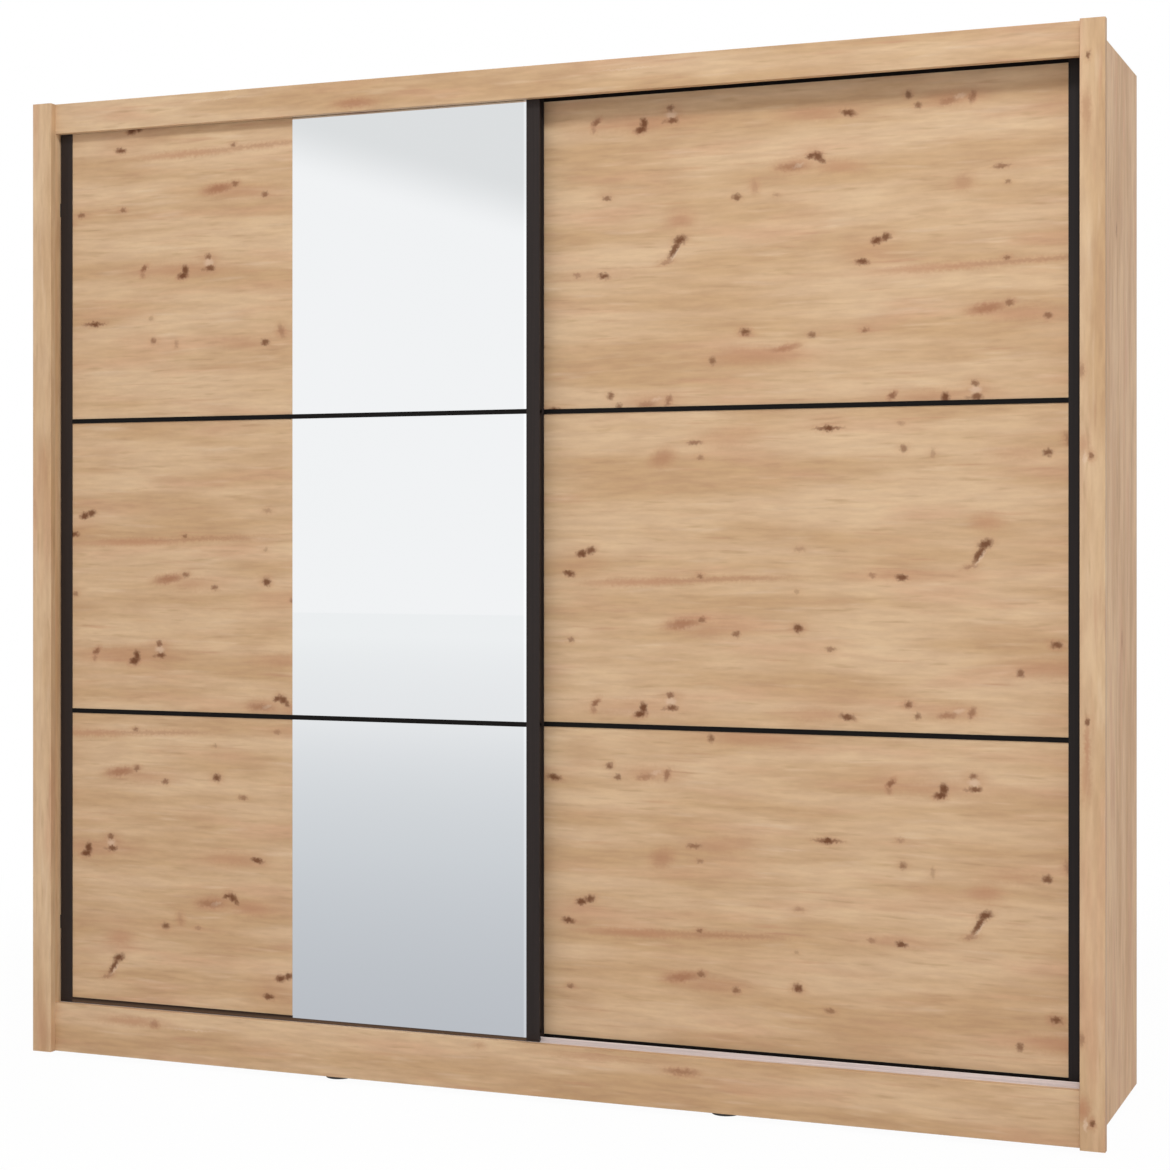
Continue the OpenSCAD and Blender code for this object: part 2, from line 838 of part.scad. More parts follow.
module left_door_outer_profile() { on_left_door() grip_profile(); }
module left_door_inner_profile() {
    on_left_door() translate([door_w, 0, 0]) mirror([1, 0, 0]) grip_profile();
}
module left_door_top_rail() {
    lip_z = door_h - rail_face_h;
    color(dark_metal)
        on_left_door()
            difference() {
                door_top_rail();
                block([profile_w - eps, -eps, lip_z - eps],
                      [door_w - profile_w + eps, profile_wall + eps, lip_z + top_lip_cut]);
            }
}
module left_door_bottom_rail() {
    color(dark_metal)
        on_left_door()
            difference() {
                door_bottom_rail();
                block([facing_split_x, -eps, rail_face_h - mirror_lip_cut],
                      [door_w - profile_w + eps, profile_wall + eps, rail_face_h + eps]);
            }
}
module left_door_dividers() { on_left_door() door_dividers(); }
module left_door_wood_bottom() { on_left_door() half_wood_panel(0); }
module left_door_wood_middle() { on_left_door() half_wood_panel(1); }
module left_door_wood_top() { on_left_door() half_wood_panel(2); }
module left_door_mirror_bottom() { on_left_door() mirror_panel(0); }
module left_door_mirror_middle() { on_left_door() mirror_panel(1); }
module left_door_mirror_top() { on_left_door() mirror_panel(2); }
module left_door_backing_boards() { on_left_door() backing_boards(); }
module left_door_roller_cages() { on_left_door() roller_cages(); }
module left_door_top_guides() { on_left_door() top_guides(0, front_door_y); }
module left_door_outer_roller() { on_left_door() roller(outer_roller_x); }
module left_door_inner_roller() { on_left_door() roller(inner_roller_x); }

// ---- Right door, behind. Its outer side is on the right. ----

module on_right_door() {
    translate([right_door_x, rear_door_y, door_z]) children();
}

module right_door_outer_profile() {
    on_right_door() translate([door_w, 0, 0]) mirror([1, 0, 0]) grip_profile();
}
module right_door_inner_profile() { on_right_door() grip_profile(); }
module right_door_top_rail() { on_right_door() door_top_rail(); }
module right_door_bottom_rail() { on_right_door() door_bottom_rail(); }
module right_door_dividers() { on_right_door() door_dividers(); }
module right_door_wood_bottom() { on_right_door() full_wood_panel(0); }
module right_door_wood_middle() { on_right_door() full_wood_panel(1); }
module right_door_wood_top() { on_right_door() full_wood_panel(2); }
module right_door_roller_cages() { on_right_door() roller_cages(); }
module right_door_top_guides() { on_right_door() top_guides(1, rear_door_y); }
module right_door_outer_roller() { on_right_door() roller(inner_roller_x); }
module right_door_inner_roller() { on_right_door() roller(outer_roller_x); }

// ---- Nodes ----

side_panel_left();
side_panel_right();
top_panel();
bottom_panel();
partition_left();
partition_right();
back_panel_left();
back_panel_middle();
back_panel_right();
stile_left();
stile_right();
fascia();
plinth();
rear_plinth_rail();
legs();
glides();
top_track();
bottom_track();
left_shelf_1();
left_shelf_2();
left_shelf_3();
left_shelf_4();
hat_shelf_middle();
hat_shelf_right();
low_shelf_right();
hanging_rail_middle();
hanging_rail_right();
rail_sockets();
shelf_supports();
cam_fittings();
door_bumpers();
left_door_outer_profile();
left_door_inner_profile();
left_door_top_rail();
left_door_bottom_rail();
left_door_dividers();
left_door_wood_bottom();
left_door_wood_middle();
left_door_wood_top();
left_door_mirror_bottom();
left_door_mirror_middle();
left_door_mirror_top();
left_door_backing_boards();
left_door_roller_cages();
left_door_top_guides();
left_door_outer_roller();
left_door_inner_roller();
right_door_outer_profile();
right_door_inner_profile();
right_door_top_rail();
right_door_bottom_rail();
right_door_dividers();
right_door_wood_bottom();
right_door_wood_middle();
right_door_wood_top();
right_door_roller_cages();
right_door_top_guides();
right_door_outer_roller();
right_door_inner_roller();
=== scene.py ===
import math

import bpy
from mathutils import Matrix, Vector


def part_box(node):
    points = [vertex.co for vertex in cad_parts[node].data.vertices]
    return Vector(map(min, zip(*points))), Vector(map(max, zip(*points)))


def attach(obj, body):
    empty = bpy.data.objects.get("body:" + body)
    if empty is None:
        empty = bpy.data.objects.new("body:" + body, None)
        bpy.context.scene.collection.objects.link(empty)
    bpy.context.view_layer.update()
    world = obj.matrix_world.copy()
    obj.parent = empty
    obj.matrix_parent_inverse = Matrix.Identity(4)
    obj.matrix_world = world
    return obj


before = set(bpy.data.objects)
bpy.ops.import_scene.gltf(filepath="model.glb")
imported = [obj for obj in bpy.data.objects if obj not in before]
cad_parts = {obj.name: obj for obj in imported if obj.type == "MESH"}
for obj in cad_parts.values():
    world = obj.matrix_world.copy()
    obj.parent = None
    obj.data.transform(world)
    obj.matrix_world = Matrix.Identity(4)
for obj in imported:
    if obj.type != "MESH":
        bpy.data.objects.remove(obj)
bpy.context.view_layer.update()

# ---- Camera ----
# A level camera at chest height, to the right of the wardrobe and turned a little to the left.
# The frame is shifted down instead of tilting, so that uprights stay upright.
camera_place = (1.932, -4.772, 1.162)
camera_turn = math.radians(21.83)
camera_lens = 72.3
sensor_width = 36.0
frame_drop = -0.0366
frame_side = 0.0018

bpy.ops.object.select_all(action="DESELECT")
camera_data = bpy.data.cameras.new("camera")
camera_data.lens = camera_lens
camera_data.sensor_width = sensor_width
camera_data.shift_x = frame_side
camera_data.shift_y = frame_drop
camera = bpy.data.objects.new("camera", camera_data)
camera.location = camera_place
camera.rotation_euler = (math.pi / 2, 0, camera_turn)
bpy.context.scene.collection.objects.link(camera)
bpy.context.scene.camera = camera

# ---- Carcass boards seen from outside: side panels, front stiles, fascia and plinth ----
# Chipboard faced with printed oak paper: honey beige, with long soft streaks, pink patches round
# small dark knots, and a fine pore embossing that follows the print.


def paint(red, green, blue):
    """A colour as a paint card gives it, 0 to 255, in the linear values that shaders take."""
    parts = []
    for value in (red, green, blue):
        level = value / 255
        parts.append(level / 12.92 if level <= 0.04045 else ((level + 0.055) / 1.055) ** 2.4)
    return (*parts, 1.0)


def feed(tree, socket, value):
    """Links value into the socket, or writes it there when it is a plain number or colour."""
    if isinstance(value, bpy.types.NodeSocket):
        tree.links.new(value, socket)
    else:
        socket.default_value = value


def maths(tree, operation, *values):
    step = tree.nodes.new("ShaderNodeMath")
    step.operation = operation
    for socket, value in zip(step.inputs, values):
        feed(tree, socket, value)
    return step.outputs[0]


def vectors(tree, operation, *values):
    step = tree.nodes.new("ShaderNodeVectorMath")
    step.operation = operation
    for socket, value in zip(step.inputs, values):
        feed(tree, socket, value)
    return step.outputs["Value" if operation == "LENGTH" else "Vector"]


def joined(tree, x, y, z):
    step = tree.nodes.new("ShaderNodeCombineXYZ")
    for socket, value in zip(step.inputs, (x, y, z)):
        feed(tree, socket, value)
    return step.outputs[0]


def parted(tree, vector):
    step = tree.nodes.new("ShaderNodeSeparateXYZ")
    feed(tree, step.inputs[0], vector)
    return step.outputs


def spread(tree, value, low, high, to_low=0.0, to_high=1.0):
    """Eases a value from to_low at low to to_high at high."""
    step = tree.nodes.new("ShaderNodeMapRange")
    step.interpolation_type = "SMOOTHSTEP"
    for name, amount in (("Value", value), ("From Min", low), ("From Max", high),
                         ("To Min", to_low), ("To Max", to_high)):
        feed(tree, step.inputs[name], amount)
    return step.outputs["Result"]


def mixed(tree, amount, first, second, blend="MIX"):
    """Mixes two colours. The node has sockets of the same name for each kind of value,
    so the colour ones are picked by their type."""
    step = tree.nodes.new("ShaderNodeMix")
    step.data_type = "RGBA"
    step.blend_type = blend
    low, high = [socket for socket in step.inputs if socket.type == "RGBA"]
    feed(tree, step.inputs[0], amount)
    feed(tree, low, first)
    feed(tree, high, second)
    return [socket for socket in step.outputs if socket.type == "RGBA"][0]


def cloud(tree, vector, detail=2.0, roughness=0.5):
    """Noise whose size is set by how the vector is scaled: as a number from 0 to 1, and as a colour."""
    step = tree.nodes.new("ShaderNodeTexNoise")
    feed(tree, step.inputs["Vector"], vector)
    feed(tree, step.inputs["Scale"], 1.0)
    feed(tree, step.inputs["Detail"], detail)
    feed(tree, step.inputs["Roughness"], roughness)
    return step.outputs[0], step.outputs["Color"]


def surface_place(tree):
    """The place of each point of the surface, in metres."""
    return tree.nodes.new("ShaderNodeTexCoord").outputs["Object"]


def specks(tree, place, per_metre, detail=2.0, roughness=0.5):
    """Noise that is the same size every way, with about per_metre patches in a metre."""
    return cloud(tree, vectors(tree, "MULTIPLY", place, (per_metre,) * 3), detail, roughness)[0]


def toned(tree, colour, tone):
    """The colour made darker or lighter by a tone near 1."""
    return mixed(tree, 1.0, colour, joined(tree, tone, tone, tone), "MULTIPLY")


def new_group(name, inputs, outputs):
    """An empty shader group with sockets given as (name, type) pairs. Returns the group, the
    sockets that bring its inputs and the sockets that take its outputs."""
    tree = bpy.data.node_groups.new(name, "ShaderNodeTree")
    for socket_name, kind in inputs:
        tree.interface.new_socket(socket_name, in_out="INPUT", socket_type=kind)
    for socket_name, kind in outputs:
        tree.interface.new_socket(socket_name, in_out="OUTPUT", socket_type=kind)
    entry = tree.nodes.new("NodeGroupInput")
    leave = tree.nodes.new("NodeGroupOutput")
    return tree, entry.outputs, leave.inputs


NUMBER = "NodeSocketFloat"
VECTOR = "NodeSocketVector"
COLOUR = "NodeSocketColor"


def grain_noise(tree, along, across, seed, length, width, detail=2.0, roughness=0.5):
    """Noise drawn out along the grain, in patches about length by width metres."""
    place = joined(tree, maths(tree, "DIVIDE", along, length),
                   maths(tree, "DIVIDE", across, width), seed)
    return cloud(tree, place, detail, roughness)[0]


honey = paint(218, 185, 148)
tan = paint(200, 162, 122)
blush = paint(208, 163, 129)
red_brown = paint(196, 146, 114)
olive = paint(185, 147, 109)
cream = paint(224, 196, 164)
halo_red = paint(184, 127, 93)
halo_strength = 0.80
pale_core = paint(232, 206, 180)
dark_core = paint(104, 55, 17)
# the whole print sways across the grain, and it bends aside round a halo
sway_length, sway_width, sway_reach = 0.90, 0.25, 0.030
halo_bend = -0.006
red_share = 0.75


def make_oak_print():
    """The printed oak itself: colour and pore lines from a place along and across the grain.
    The lines bend a little round the red halo of a knot."""
    tree, given, made = new_group(
        "oak print",
        [("Along", NUMBER), ("Across", NUMBER), ("Seed", NUMBER),
         ("Dark", NUMBER), ("Pale", NUMBER), ("Red", NUMBER)],
        [("Colour", COLOUR), ("Grain", NUMBER)])
    along, seed = given["Along"], given["Seed"]
    sway = grain_noise(tree, along, given["Across"], seed, sway_length, sway_width, 1.0)
    swayed = maths(tree, "MULTIPLY_ADD", sway, sway_reach, given["Across"])
    across = maths(tree, "MULTIPLY_ADD", given["Red"], halo_bend, swayed)

    def layer(shift, length, width, detail=2.0, roughness=0.5):
        """Streaks about length by width metres. Each layer starts elsewhere in the noise, by shift."""
        return grain_noise(tree, along, across, maths(tree, "ADD", seed, shift),
                           length, width, detail, roughness)

    bands = spread(tree, layer(0.0, 0.55, 0.070, 3.0), 0.34, 0.66)
    clouds = spread(tree, layer(13.0, 0.16, 0.045, 3.0, 0.6), 0.30, 0.70, 0.950, 1.045)
    pinks = spread(tree, layer(7.0, 0.34, 0.050, 3.0), 0.50, 0.74, 0.0, 0.62)
    red_lines = spread(tree, layer(23.0, 0.22, 0.013, 3.0), 0.60, 0.78, 0.0, 0.54)
    olives = spread(tree, layer(11.0, 0.10, 0.011, 2.0), 0.57, 0.78, 0.0, 0.48)
    pales = spread(tree, layer(17.0, 0.15, 0.015, 2.0), 0.56, 0.80, 0.0, 0.45)
    streaks = layer(3.0, 0.070, 0.0095, 2.0, 0.38)
    mottle = spread(tree, layer(29.0, 0.016, 0.0065, 3.0, 0.55), 0.30, 0.70, 0.984, 1.016)
    pores = layer(5.0, 0.018, 0.0007, 2.0)
    colour = mixed(tree, bands, honey, tan)
    colour = mixed(tree, pinks, colour, blush)
    colour = mixed(tree, red_lines, colour, red_brown)
    colour = mixed(tree, olives, colour, olive)
    colour = mixed(tree, pales, colour, cream)
    streak_tone = spread(tree, streaks, 0.30, 0.70, 0.940, 1.050)
    pore_tone = spread(tree, pores, 0.25, 0.60, 0.964, 1.011)
    tone = maths(tree, "MULTIPLY", maths(tree, "MULTIPLY", streak_tone, pore_tone),
                 maths(tree, "MULTIPLY", clouds, mottle))
    # the darker streaks are also the redder ones
    red_tone = maths(tree, "MULTIPLY_ADD", tone, red_share, 1.0 - red_share)
    colour = mixed(tree, 1.0, colour, joined(tree, red_tone, tone, tone), "MULTIPLY")
    colour = mixed(tree, maths(tree, "MULTIPLY", given["Red"], halo_strength), colour, halo_red)
    colour = mixed(tree, given["Pale"], colour, pale_core)
    colour = mixed(tree, given["Dark"], colour, dark_core)
    tree.links.new(colour, made["Colour"])
    tree.links.new(pores, made["Grain"])
    return tree


# where a core or halo is full and where it ends, in its own half lengths
core_full, core_rim = 0.40, 1.80
halo_full, halo_rim = 0.05, 1.10
# how much a halo is larger than its core: a factor, and metres past it
halo_longer, halo_past_end = 1.9, 0.012
halo_wider, halo_past_side = 1.7, 0.006


def make_knot():
    """One knot or crack: a ragged core in a soft red halo. A core of negative depth is pale.
    Groups are chained, each adding to the masks before it."""
    tree, given, made = new_group(
        "oak knot",
        [("Place", VECTOR), ("Centre", VECTOR), ("Length", NUMBER), ("Width", NUMBER),
         ("Tilt", NUMBER), ("Depth", NUMBER), ("Halo", NUMBER),
         ("Dark", NUMBER), ("Pale", NUMBER), ("Red", NUMBER)],
        [("Dark", NUMBER), ("Pale", NUMBER), ("Red", NUMBER)])
    offset = vectors(tree, "SUBTRACT", given["Place"], given["Centre"])
    turned = tree.nodes.new("ShaderNodeVectorRotate")
    turned.rotation_type = "Z_AXIS"
    feed(tree, turned.inputs["Vector"], offset)
    feed(tree, turned.inputs["Angle"], maths(tree, "MULTIPLY", given["Tilt"], -1.0))
    size = joined(tree, given["Length"], given["Width"], 1.0)
    core_reach = vectors(tree, "LENGTH", vectors(tree, "DIVIDE", turned.outputs[0], size))
    core = spread(tree, core_reach, core_rim, core_full)
    halo_size = joined(tree, maths(tree, "MULTIPLY_ADD", given["Length"], halo_longer, halo_past_end),
                       maths(tree, "MULTIPLY_ADD", given["Width"], halo_wider, halo_past_side), 1.0)
    halo_reach = vectors(tree, "LENGTH", vectors(tree, "DIVIDE", turned.outputs[0], halo_size))
    halo = spread(tree, halo_reach, halo_rim, halo_full)
    dark = maths(tree, "MULTIPLY", core, given["Depth"])
    pale = maths(tree, "MULTIPLY", dark, -1.0)
    red = maths(tree, "MULTIPLY", halo, given["Halo"])
    tree.links.new(maths(tree, "MAXIMUM", given["Dark"], dark), made["Dark"])
    tree.links.new(maths(tree, "MAXIMUM", given["Pale"], pale), made["Pale"])
    tree.links.new(maths(tree, "MAXIMUM", given["Red"], red), made["Red"])
    return tree


oak_print = make_oak_print()
oak_knot = make_knot()


def new_material(name):
    material = bpy.data.materials.new(name)
    material.use_nodes = True
    tree = material.node_tree
    return material, tree, tree.nodes["Principled BSDF"]


def roughen(tree, shader, height, depth):
    """Turns a height from 0 to 1 into a bump depth metres deep on the shader."""
    bump = tree.nodes.new("ShaderNodeBump")
    bump.inputs["Strength"].default_value = 1.0
    bump.inputs["Distance"].default_value = depth
    tree.links.new(height, bump.inputs["Height"])
    tree.links.new(bump.outputs[0], shader.inputs["Normal"])


ragged_per_metre = 150.0
ragged_reach = 0.012
print_gloss = 0.35
emboss_length, emboss_width, emboss_depth = 0.03, 0.0012, 0.00004


def oak_material(name, corner, grain, seed, knots=(), tint=(1.0, 1.0, 1.0)):
    """Printed oak on one board. corner is the board's low corner, and grain is the axis it runs along.
    A knot is (along, across, half length, half width, tilt, depth, halo), counted from that corner."""
    material, tree, shader = new_material(name)
    local = vectors(tree, "SUBTRACT", surface_place(tree), tuple(corner))
    x, y, z = parted(tree, local)
    if grain == "x":
        along, across = x, maths(tree, "ADD", z, y)
    else:
        along, across = z, maths(tree, "ADD", x, y)
    ragged = cloud(tree, vectors(tree, "MULTIPLY", local, (ragged_per_metre,) * 3), 2.0)[1]
    ragged = vectors(tree, "MULTIPLY", vectors(tree, "SUBTRACT", ragged, (0.5, 0.5, 0.5)),
                     (ragged_reach, ragged_reach, 0.0))
    place = vectors(tree, "ADD", joined(tree, along, across, 0.0), ragged)
    dark, pale, red = 0.0, 0.0, 0.0
    for knot_along, knot_across, length, width, tilt, depth, halo in knots:
        step = tree.nodes.new("ShaderNodeGroup")
        step.node_tree = oak_knot
        for socket_name, value in (
                ("Place", place), ("Centre", (knot_along, knot_across, 0.0)),
                ("Length", length), ("Width", width), ("Tilt", tilt), ("Depth", depth),
                ("Halo", halo), ("Dark", dark), ("Pale", pale), ("Red", red)):
            feed(tree, step.inputs[socket_name], value)
        dark, pale, red = step.outputs["Dark"], step.outputs["Pale"], step.outputs["Red"]
    print_step = tree.nodes.new("ShaderNodeGroup")
    print_step.node_tree = oak_print
    for socket_name, value in (("Along", along), ("Across", across), ("Seed", seed),
                               ("Dark", dark), ("Pale", pale), ("Red", red)):
        feed(tree, print_step.inputs[socket_name], value)
    colour = mixed(tree, 1.0, print_step.outputs["Colour"], (*tint, 1.0), "MULTIPLY")
    tree.links.new(colour, shader.inputs["Base Color"])
    sheen = spread(tree, print_step.outputs["Grain"], 0.2, 0.8, 0.56, 0.44)
    tree.links.new(sheen, shader.inputs["Roughness"])
    shader.inputs["Specular IOR Level"].default_value = print_gloss
    embossing = grain_noise(tree, along, across, seed, emboss_length, emboss_width)
    roughen(tree, shader, embossing, emboss_depth)
    return material


def dress(node_name, material):
    """Gives a CAD node its material."""
    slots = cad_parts[node_name].data.materials
    slots.clear()
    slots.append(material)


def low_corner(node_name):
    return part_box(node_name)[0]


side_knots = [
    (0.120, 0.190, 0.090, 0.003, 0.0, 0.00, 0.7),
    (0.620, 0.300, 0.060, 0.004, 0.0, 0.00, 0.5),
    (0.950, 0.400, 0.014, 0.005, 0.0, 0.30, 0.5),
    (1.420, 0.150, 0.050, 0.004, 0.0, 0.00, 0.5),
    (1.780, 0.330, 0.012, 0.006, 0.0, 0.35, 0.5),
]
# painted light: the side panels' print is made lighter, standing in for light that falls on the sides
painted_side_light = (1.14, 1.10, 1.05)
for side_node, seed in (("side_panel_left", 31.0), ("side_panel_right", 45.63)):
    dress(side_node, oak_material("oak_" + side_node, low_corner(side_node), "z", seed, side_knots,
                                  painted_side_light))

stile_knots = {
    "stile_left": [
        (0.050, 0.024, 0.050, 0.012, 0.0, 0.00, 0.4),
        (1.310, 0.030, 0.040, 0.010, 0.0, 0.00, 0.3),
    ],
    "stile_right": [
        (0.053, 0.024, 0.005, 0.004, 0.0, 0.75, 0.8),
        (0.078, 0.006, 0.012, 0.008, 0.0, 0.00, 0.9),
        (0.049, 0.011, 0.010, 0.003, 0.0, -0.50, 0.0),
        (0.210, 0.004, 0.010, 0.004, 0.0, 0.35, 0.5),
        (0.700, 0.012, 0.030, 0.005, 0.0, 0.00, 0.6),
        (0.760, 0.014, 0.040, 0.0015, 0.0, 0.00, 0.8),
        (0.810, 0.015, 0.006, 0.004, 0.0, 0.75, 0.5),
        (1.313, 0.022, 0.005, 0.004, 0.0, 0.60, 0.7),
        (1.335, 0.006, 0.012, 0.008, 0.0, 0.00, 0.6),
        (1.309, 0.010, 0.010, 0.003, 0.0, -0.40, 0.0),
        (1.475, 0.004, 0.010, 0.004, 0.0, 0.30, 0.5),
        (1.965, 0.012, 0.030, 0.006, 0.0, 0.10, 0.5),
        (2.070, 0.016, 0.006, 0.004, 0.0, 0.75, 0.4),
    ],
}
for stile_node, seed in (("stile_left", 41.0), ("stile_right", 54.37)):
    dress(stile_node, oak_material("oak_" + stile_node, low_corner(stile_node), "z", seed,
                                   stile_knots[stile_node]))

fascia_knots = [
    (0.760, 0.018, 0.035, 0.006, 0.0, 0.12, 0.9),
    (1.380, 0.044, 0.070, 0.0015, 0.0, -0.25, 0.0),
    (0.420, 0.050, 0.060, 0.0015, 0.0, -0.25, 0.0),
]
plinth_knots = [
    (0.200, 0.082, 0.070, 0.006, 0.0, 0.00, 0.7),
    (0.260, 0.080, 0.010, 0.006, 0.0, 0.22, 0.8),
    (0.360, 0.074, 0.050, 0.0015, 0.0, -0.30, 0.0),
    (1.050, 0.095, 0.007, 0.004, 0.0, 0.08, 0.4),
    (1.320, 0.092, 0.125, 0.002, 0.0, 0.00, 0.35),
    (1.500, 0.078, 0.028, 0.005, 0.0, 0.35, 0.8),
]
dress("fascia", oak_material("oak_fascia", low_corner("fascia"), "x", 52.89, fascia_knots))
dress("plinth", oak_material("oak_plinth", low_corner("plinth"), "x", 58.89, plinth_knots))

# ---- Inner boards: top and bottom panel, partitions, shelves, rear plinth rail ----
# The same printed chipboard inside, cut with the grain along each board and with few knots. Cam
# fittings draw the fixed boards together, and the shelves lie on pins.
inner_tint = (0.97, 0.97, 0.96)
upright_boards = ["partition_left", "partition_right"]
level_boards = ["top_panel", "bottom_panel", "rear_plinth_rail", "left_shelf_1", "left_shelf_2",
                "left_shelf_3", "left_shelf_4", "hat_shelf_middle", "hat_shelf_right",
                "low_shelf_right"]
for number, board in enumerate(upright_boards + level_boards):
    grain = "z" if board in upright_boards else "x"
    inner_knots = [(0.18 + 0.05 * number, 0.21, 0.012, 0.006, 0.1, 0.8, 0.7),
                   (0.52, 0.38 - 0.02 * number, 0.009, 0.005, 0.0, 0.7, 0.6)]
    dress(board, oak_material("oak_" + board, low_corner(board), grain, 61.0 + 2.0 * number,
                              inner_knots, inner_tint))

# ---- Back panels ----
# Thin hardboard in three sheets, white-grey on the room side and brown and fibrous behind.
# Flat-headed steel nails hold their edges to the side panels, partitions, top and bottom panel.
nail_pitch = 0.125
nail_head_r = 0.0035
nail_edge = 0.008
nail_soft = 0.15
nail_steel = paint(206, 207, 208)


def nail_row(tree, off_line, along_line):
    """A mask of round nail heads on a line. off_line is how far a point is from the line, and
    along_line is its place on it."""
    turn = maths(tree, "FRACT", maths(tree, "DIVIDE", along_line, nail_pitch))
    off_nail = maths(tree, "MULTIPLY", maths(tree, "SUBTRACT", turn, 0.5), nail_pitch)
    reach = vectors(tree, "LENGTH", joined(tree, off_line, off_nail, 0.0))
    return spread(tree, reach, (1 + nail_soft) * nail_head_r, (1 - nail_soft) * nail_head_r)


def nail_heads(tree, place):
    """Nails up both edges of every sheet and along the top and bottom panel."""
    x, y, z = parted(tree, place)
    outward = maths(tree, "ABSOLUTE", x)
    low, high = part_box("back_panel_right")
    heads = 0.0
    for edge in (high.x - nail_edge, low.x + nail_edge, low.x - nail_edge):
        row = nail_row(tree, maths(tree, "SUBTRACT", outward, edge), z)
        heads = maths(tree, "MAXIMUM", heads, row)
    top_line = high.z - nail_edge
    bottom_line = sum(corner.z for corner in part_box("bottom_panel")) / 2
    for line in (top_line, bottom_line):
        row = nail_row(tree, maths(tree, "SUBTRACT", z, line), x)
        heads = maths(tree, "MAXIMUM", heads, row)
    return heads


dark_fibre = paint(162, 125, 90)
pale_fibre = paint(203, 171, 137)
fibre_depth = 0.00015


def hardboard_material(name, front, rear, nailed=False):
    """Hardboard with the colour front on its room side and rear behind."""
    material, tree, shader = new_material(name)
    place = surface_place(tree)
    facing = tree.nodes.new("ShaderNodeNewGeometry")
    normal_y = parted(tree, facing.outputs["Normal"])[1]
    behind = spread(tree, normal_y, 0.2, 0.5)
    fibres = specks(tree, place, 90.0, 5.0, 0.65)
    blotches = specks(tree, place, 11.0, 4.0)
    brown = mixed(tree, spread(tree, fibres, 0.3, 0.7), rear, dark_fibre)
    brown = mixed(tree, spread(tree, blotches, 0.35, 0.7, 0.0, 0.30), brown, pale_fibre)
    colour = mixed(tree, behind, front, brown)
    height = fibres
    if nailed:
        nails = maths(tree, "MULTIPLY", nail_heads(tree, place), behind)
        colour = mixed(tree, nails, colour, nail_steel)
        tree.links.new(nails, shader.inputs["Metallic"])
        height = maths(tree, "MAXIMUM", fibres, maths(tree, "MULTIPLY", nails, 2.0))
    tree.links.new(colour, shader.inputs["Base Color"])
    tree.links.new(maths(tree, "MULTIPLY_ADD", fibres, 0.15, 0.62), shader.inputs["Roughness"])
    roughen(tree, shader, height, fibre_depth)
    return material


sheet_colours = (paint(226, 221, 212), paint(192, 157, 121))
back_board = hardboard_material("back_board", *sheet_colours, nailed=True)
for sheet in ("back_panel_left", "back_panel_middle", "back_panel_right"):
    dress(sheet, back_board)

# ---- Door frames ----
# Extruded aluminium, coated in a satin black-brown. The coating is very finely pebbled, and a
# little lighter where it was brushed along the profile.
pebbles_per_metre = 1400.0
pebble_depth = 0.00002


def coated_metal(name, colour, roughness, grain, gloss=0.25, wear_and_painted_reflection=None):
    """grain is how far the brushing is drawn out along X, Y and Z, in metres. The last argument is
    (colour, height where it is full, height where it ends) for a painted reflection on a lower edge."""
    material, tree, shader = new_material(name)
    place = surface_place(tree)
    if wear_and_painted_reflection:
        # painted reflection: a lighter colour blended in towards the lower edge
        reflected_colour, full, gone = wear_and_painted_reflection
        height = parted(tree, place)[2]
        colour = mixed(tree, spread(tree, height, gone, full), colour, reflected_colour)
    brushing = cloud(tree, vectors(tree, "DIVIDE", place, grain), 3.0, 0.6)[0]
    pebble = specks(tree, place, pebbles_per_metre, 1.0)
    tone = spread(tree, brushing, 0.3, 0.7, 0.86, 1.12)
    tree.links.new(toned(tree, colour, tone), shader.inputs["Base Color"])
    tree.links.new(maths(tree, "MULTIPLY_ADD", brushing, 0.12, roughness), shader.inputs["Roughness"])
    shader.inputs["Specular IOR Level"].default_value = gloss
    roughen(tree, shader, pebble, pebble_depth)
    return material


brushed_up = (0.004, 0.004, 0.30)
brushed_across = (0.30, 0.004, 0.004)
upright_coating = coated_metal("dark_coating_upright", paint(44, 35, 32), 0.45, brushed_up)
# painted shade: the right door's uprights take a darker copy of the same coating, for the deeper shade
# that door stands in
painted_shade_coating = coated_metal("dark_coating_painted_shade", paint(36, 30, 29), 0.45, brushed_up, 0.20)
cross_coating = coated_metal("dark_coating_cross", paint(18, 14, 12), 0.50, brushed_across, 0.12)
# painted reflection: the front door's bottom rail is painted lighter, most of all towards its
# lower edge, standing in for the lit plinth top reflected in it
plinth_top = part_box("plinth")[1].z
front_lip_h = 0.012
painted_plinth_reflection = paint(112, 90, 73)
painted_reflection_coating = coated_metal("dark_coating_painted_reflection", paint(44, 32, 26), 0.60, brushed_across, 0.12,
                             (painted_plinth_reflection, plinth_top, plinth_top + front_lip_h))
for profile in ("outer_profile", "inner_profile"):
    dress("left_door_" + profile, upright_coating)
    dress("right_door_" + profile, painted_shade_coating)
for door in ("left_door_", "right_door_"):
    for rail in ("top_rail", "bottom_rail", "dividers"):
        dress(door + rail, cross_coating)
dress("left_door_bottom_rail", painted_reflection_coating)

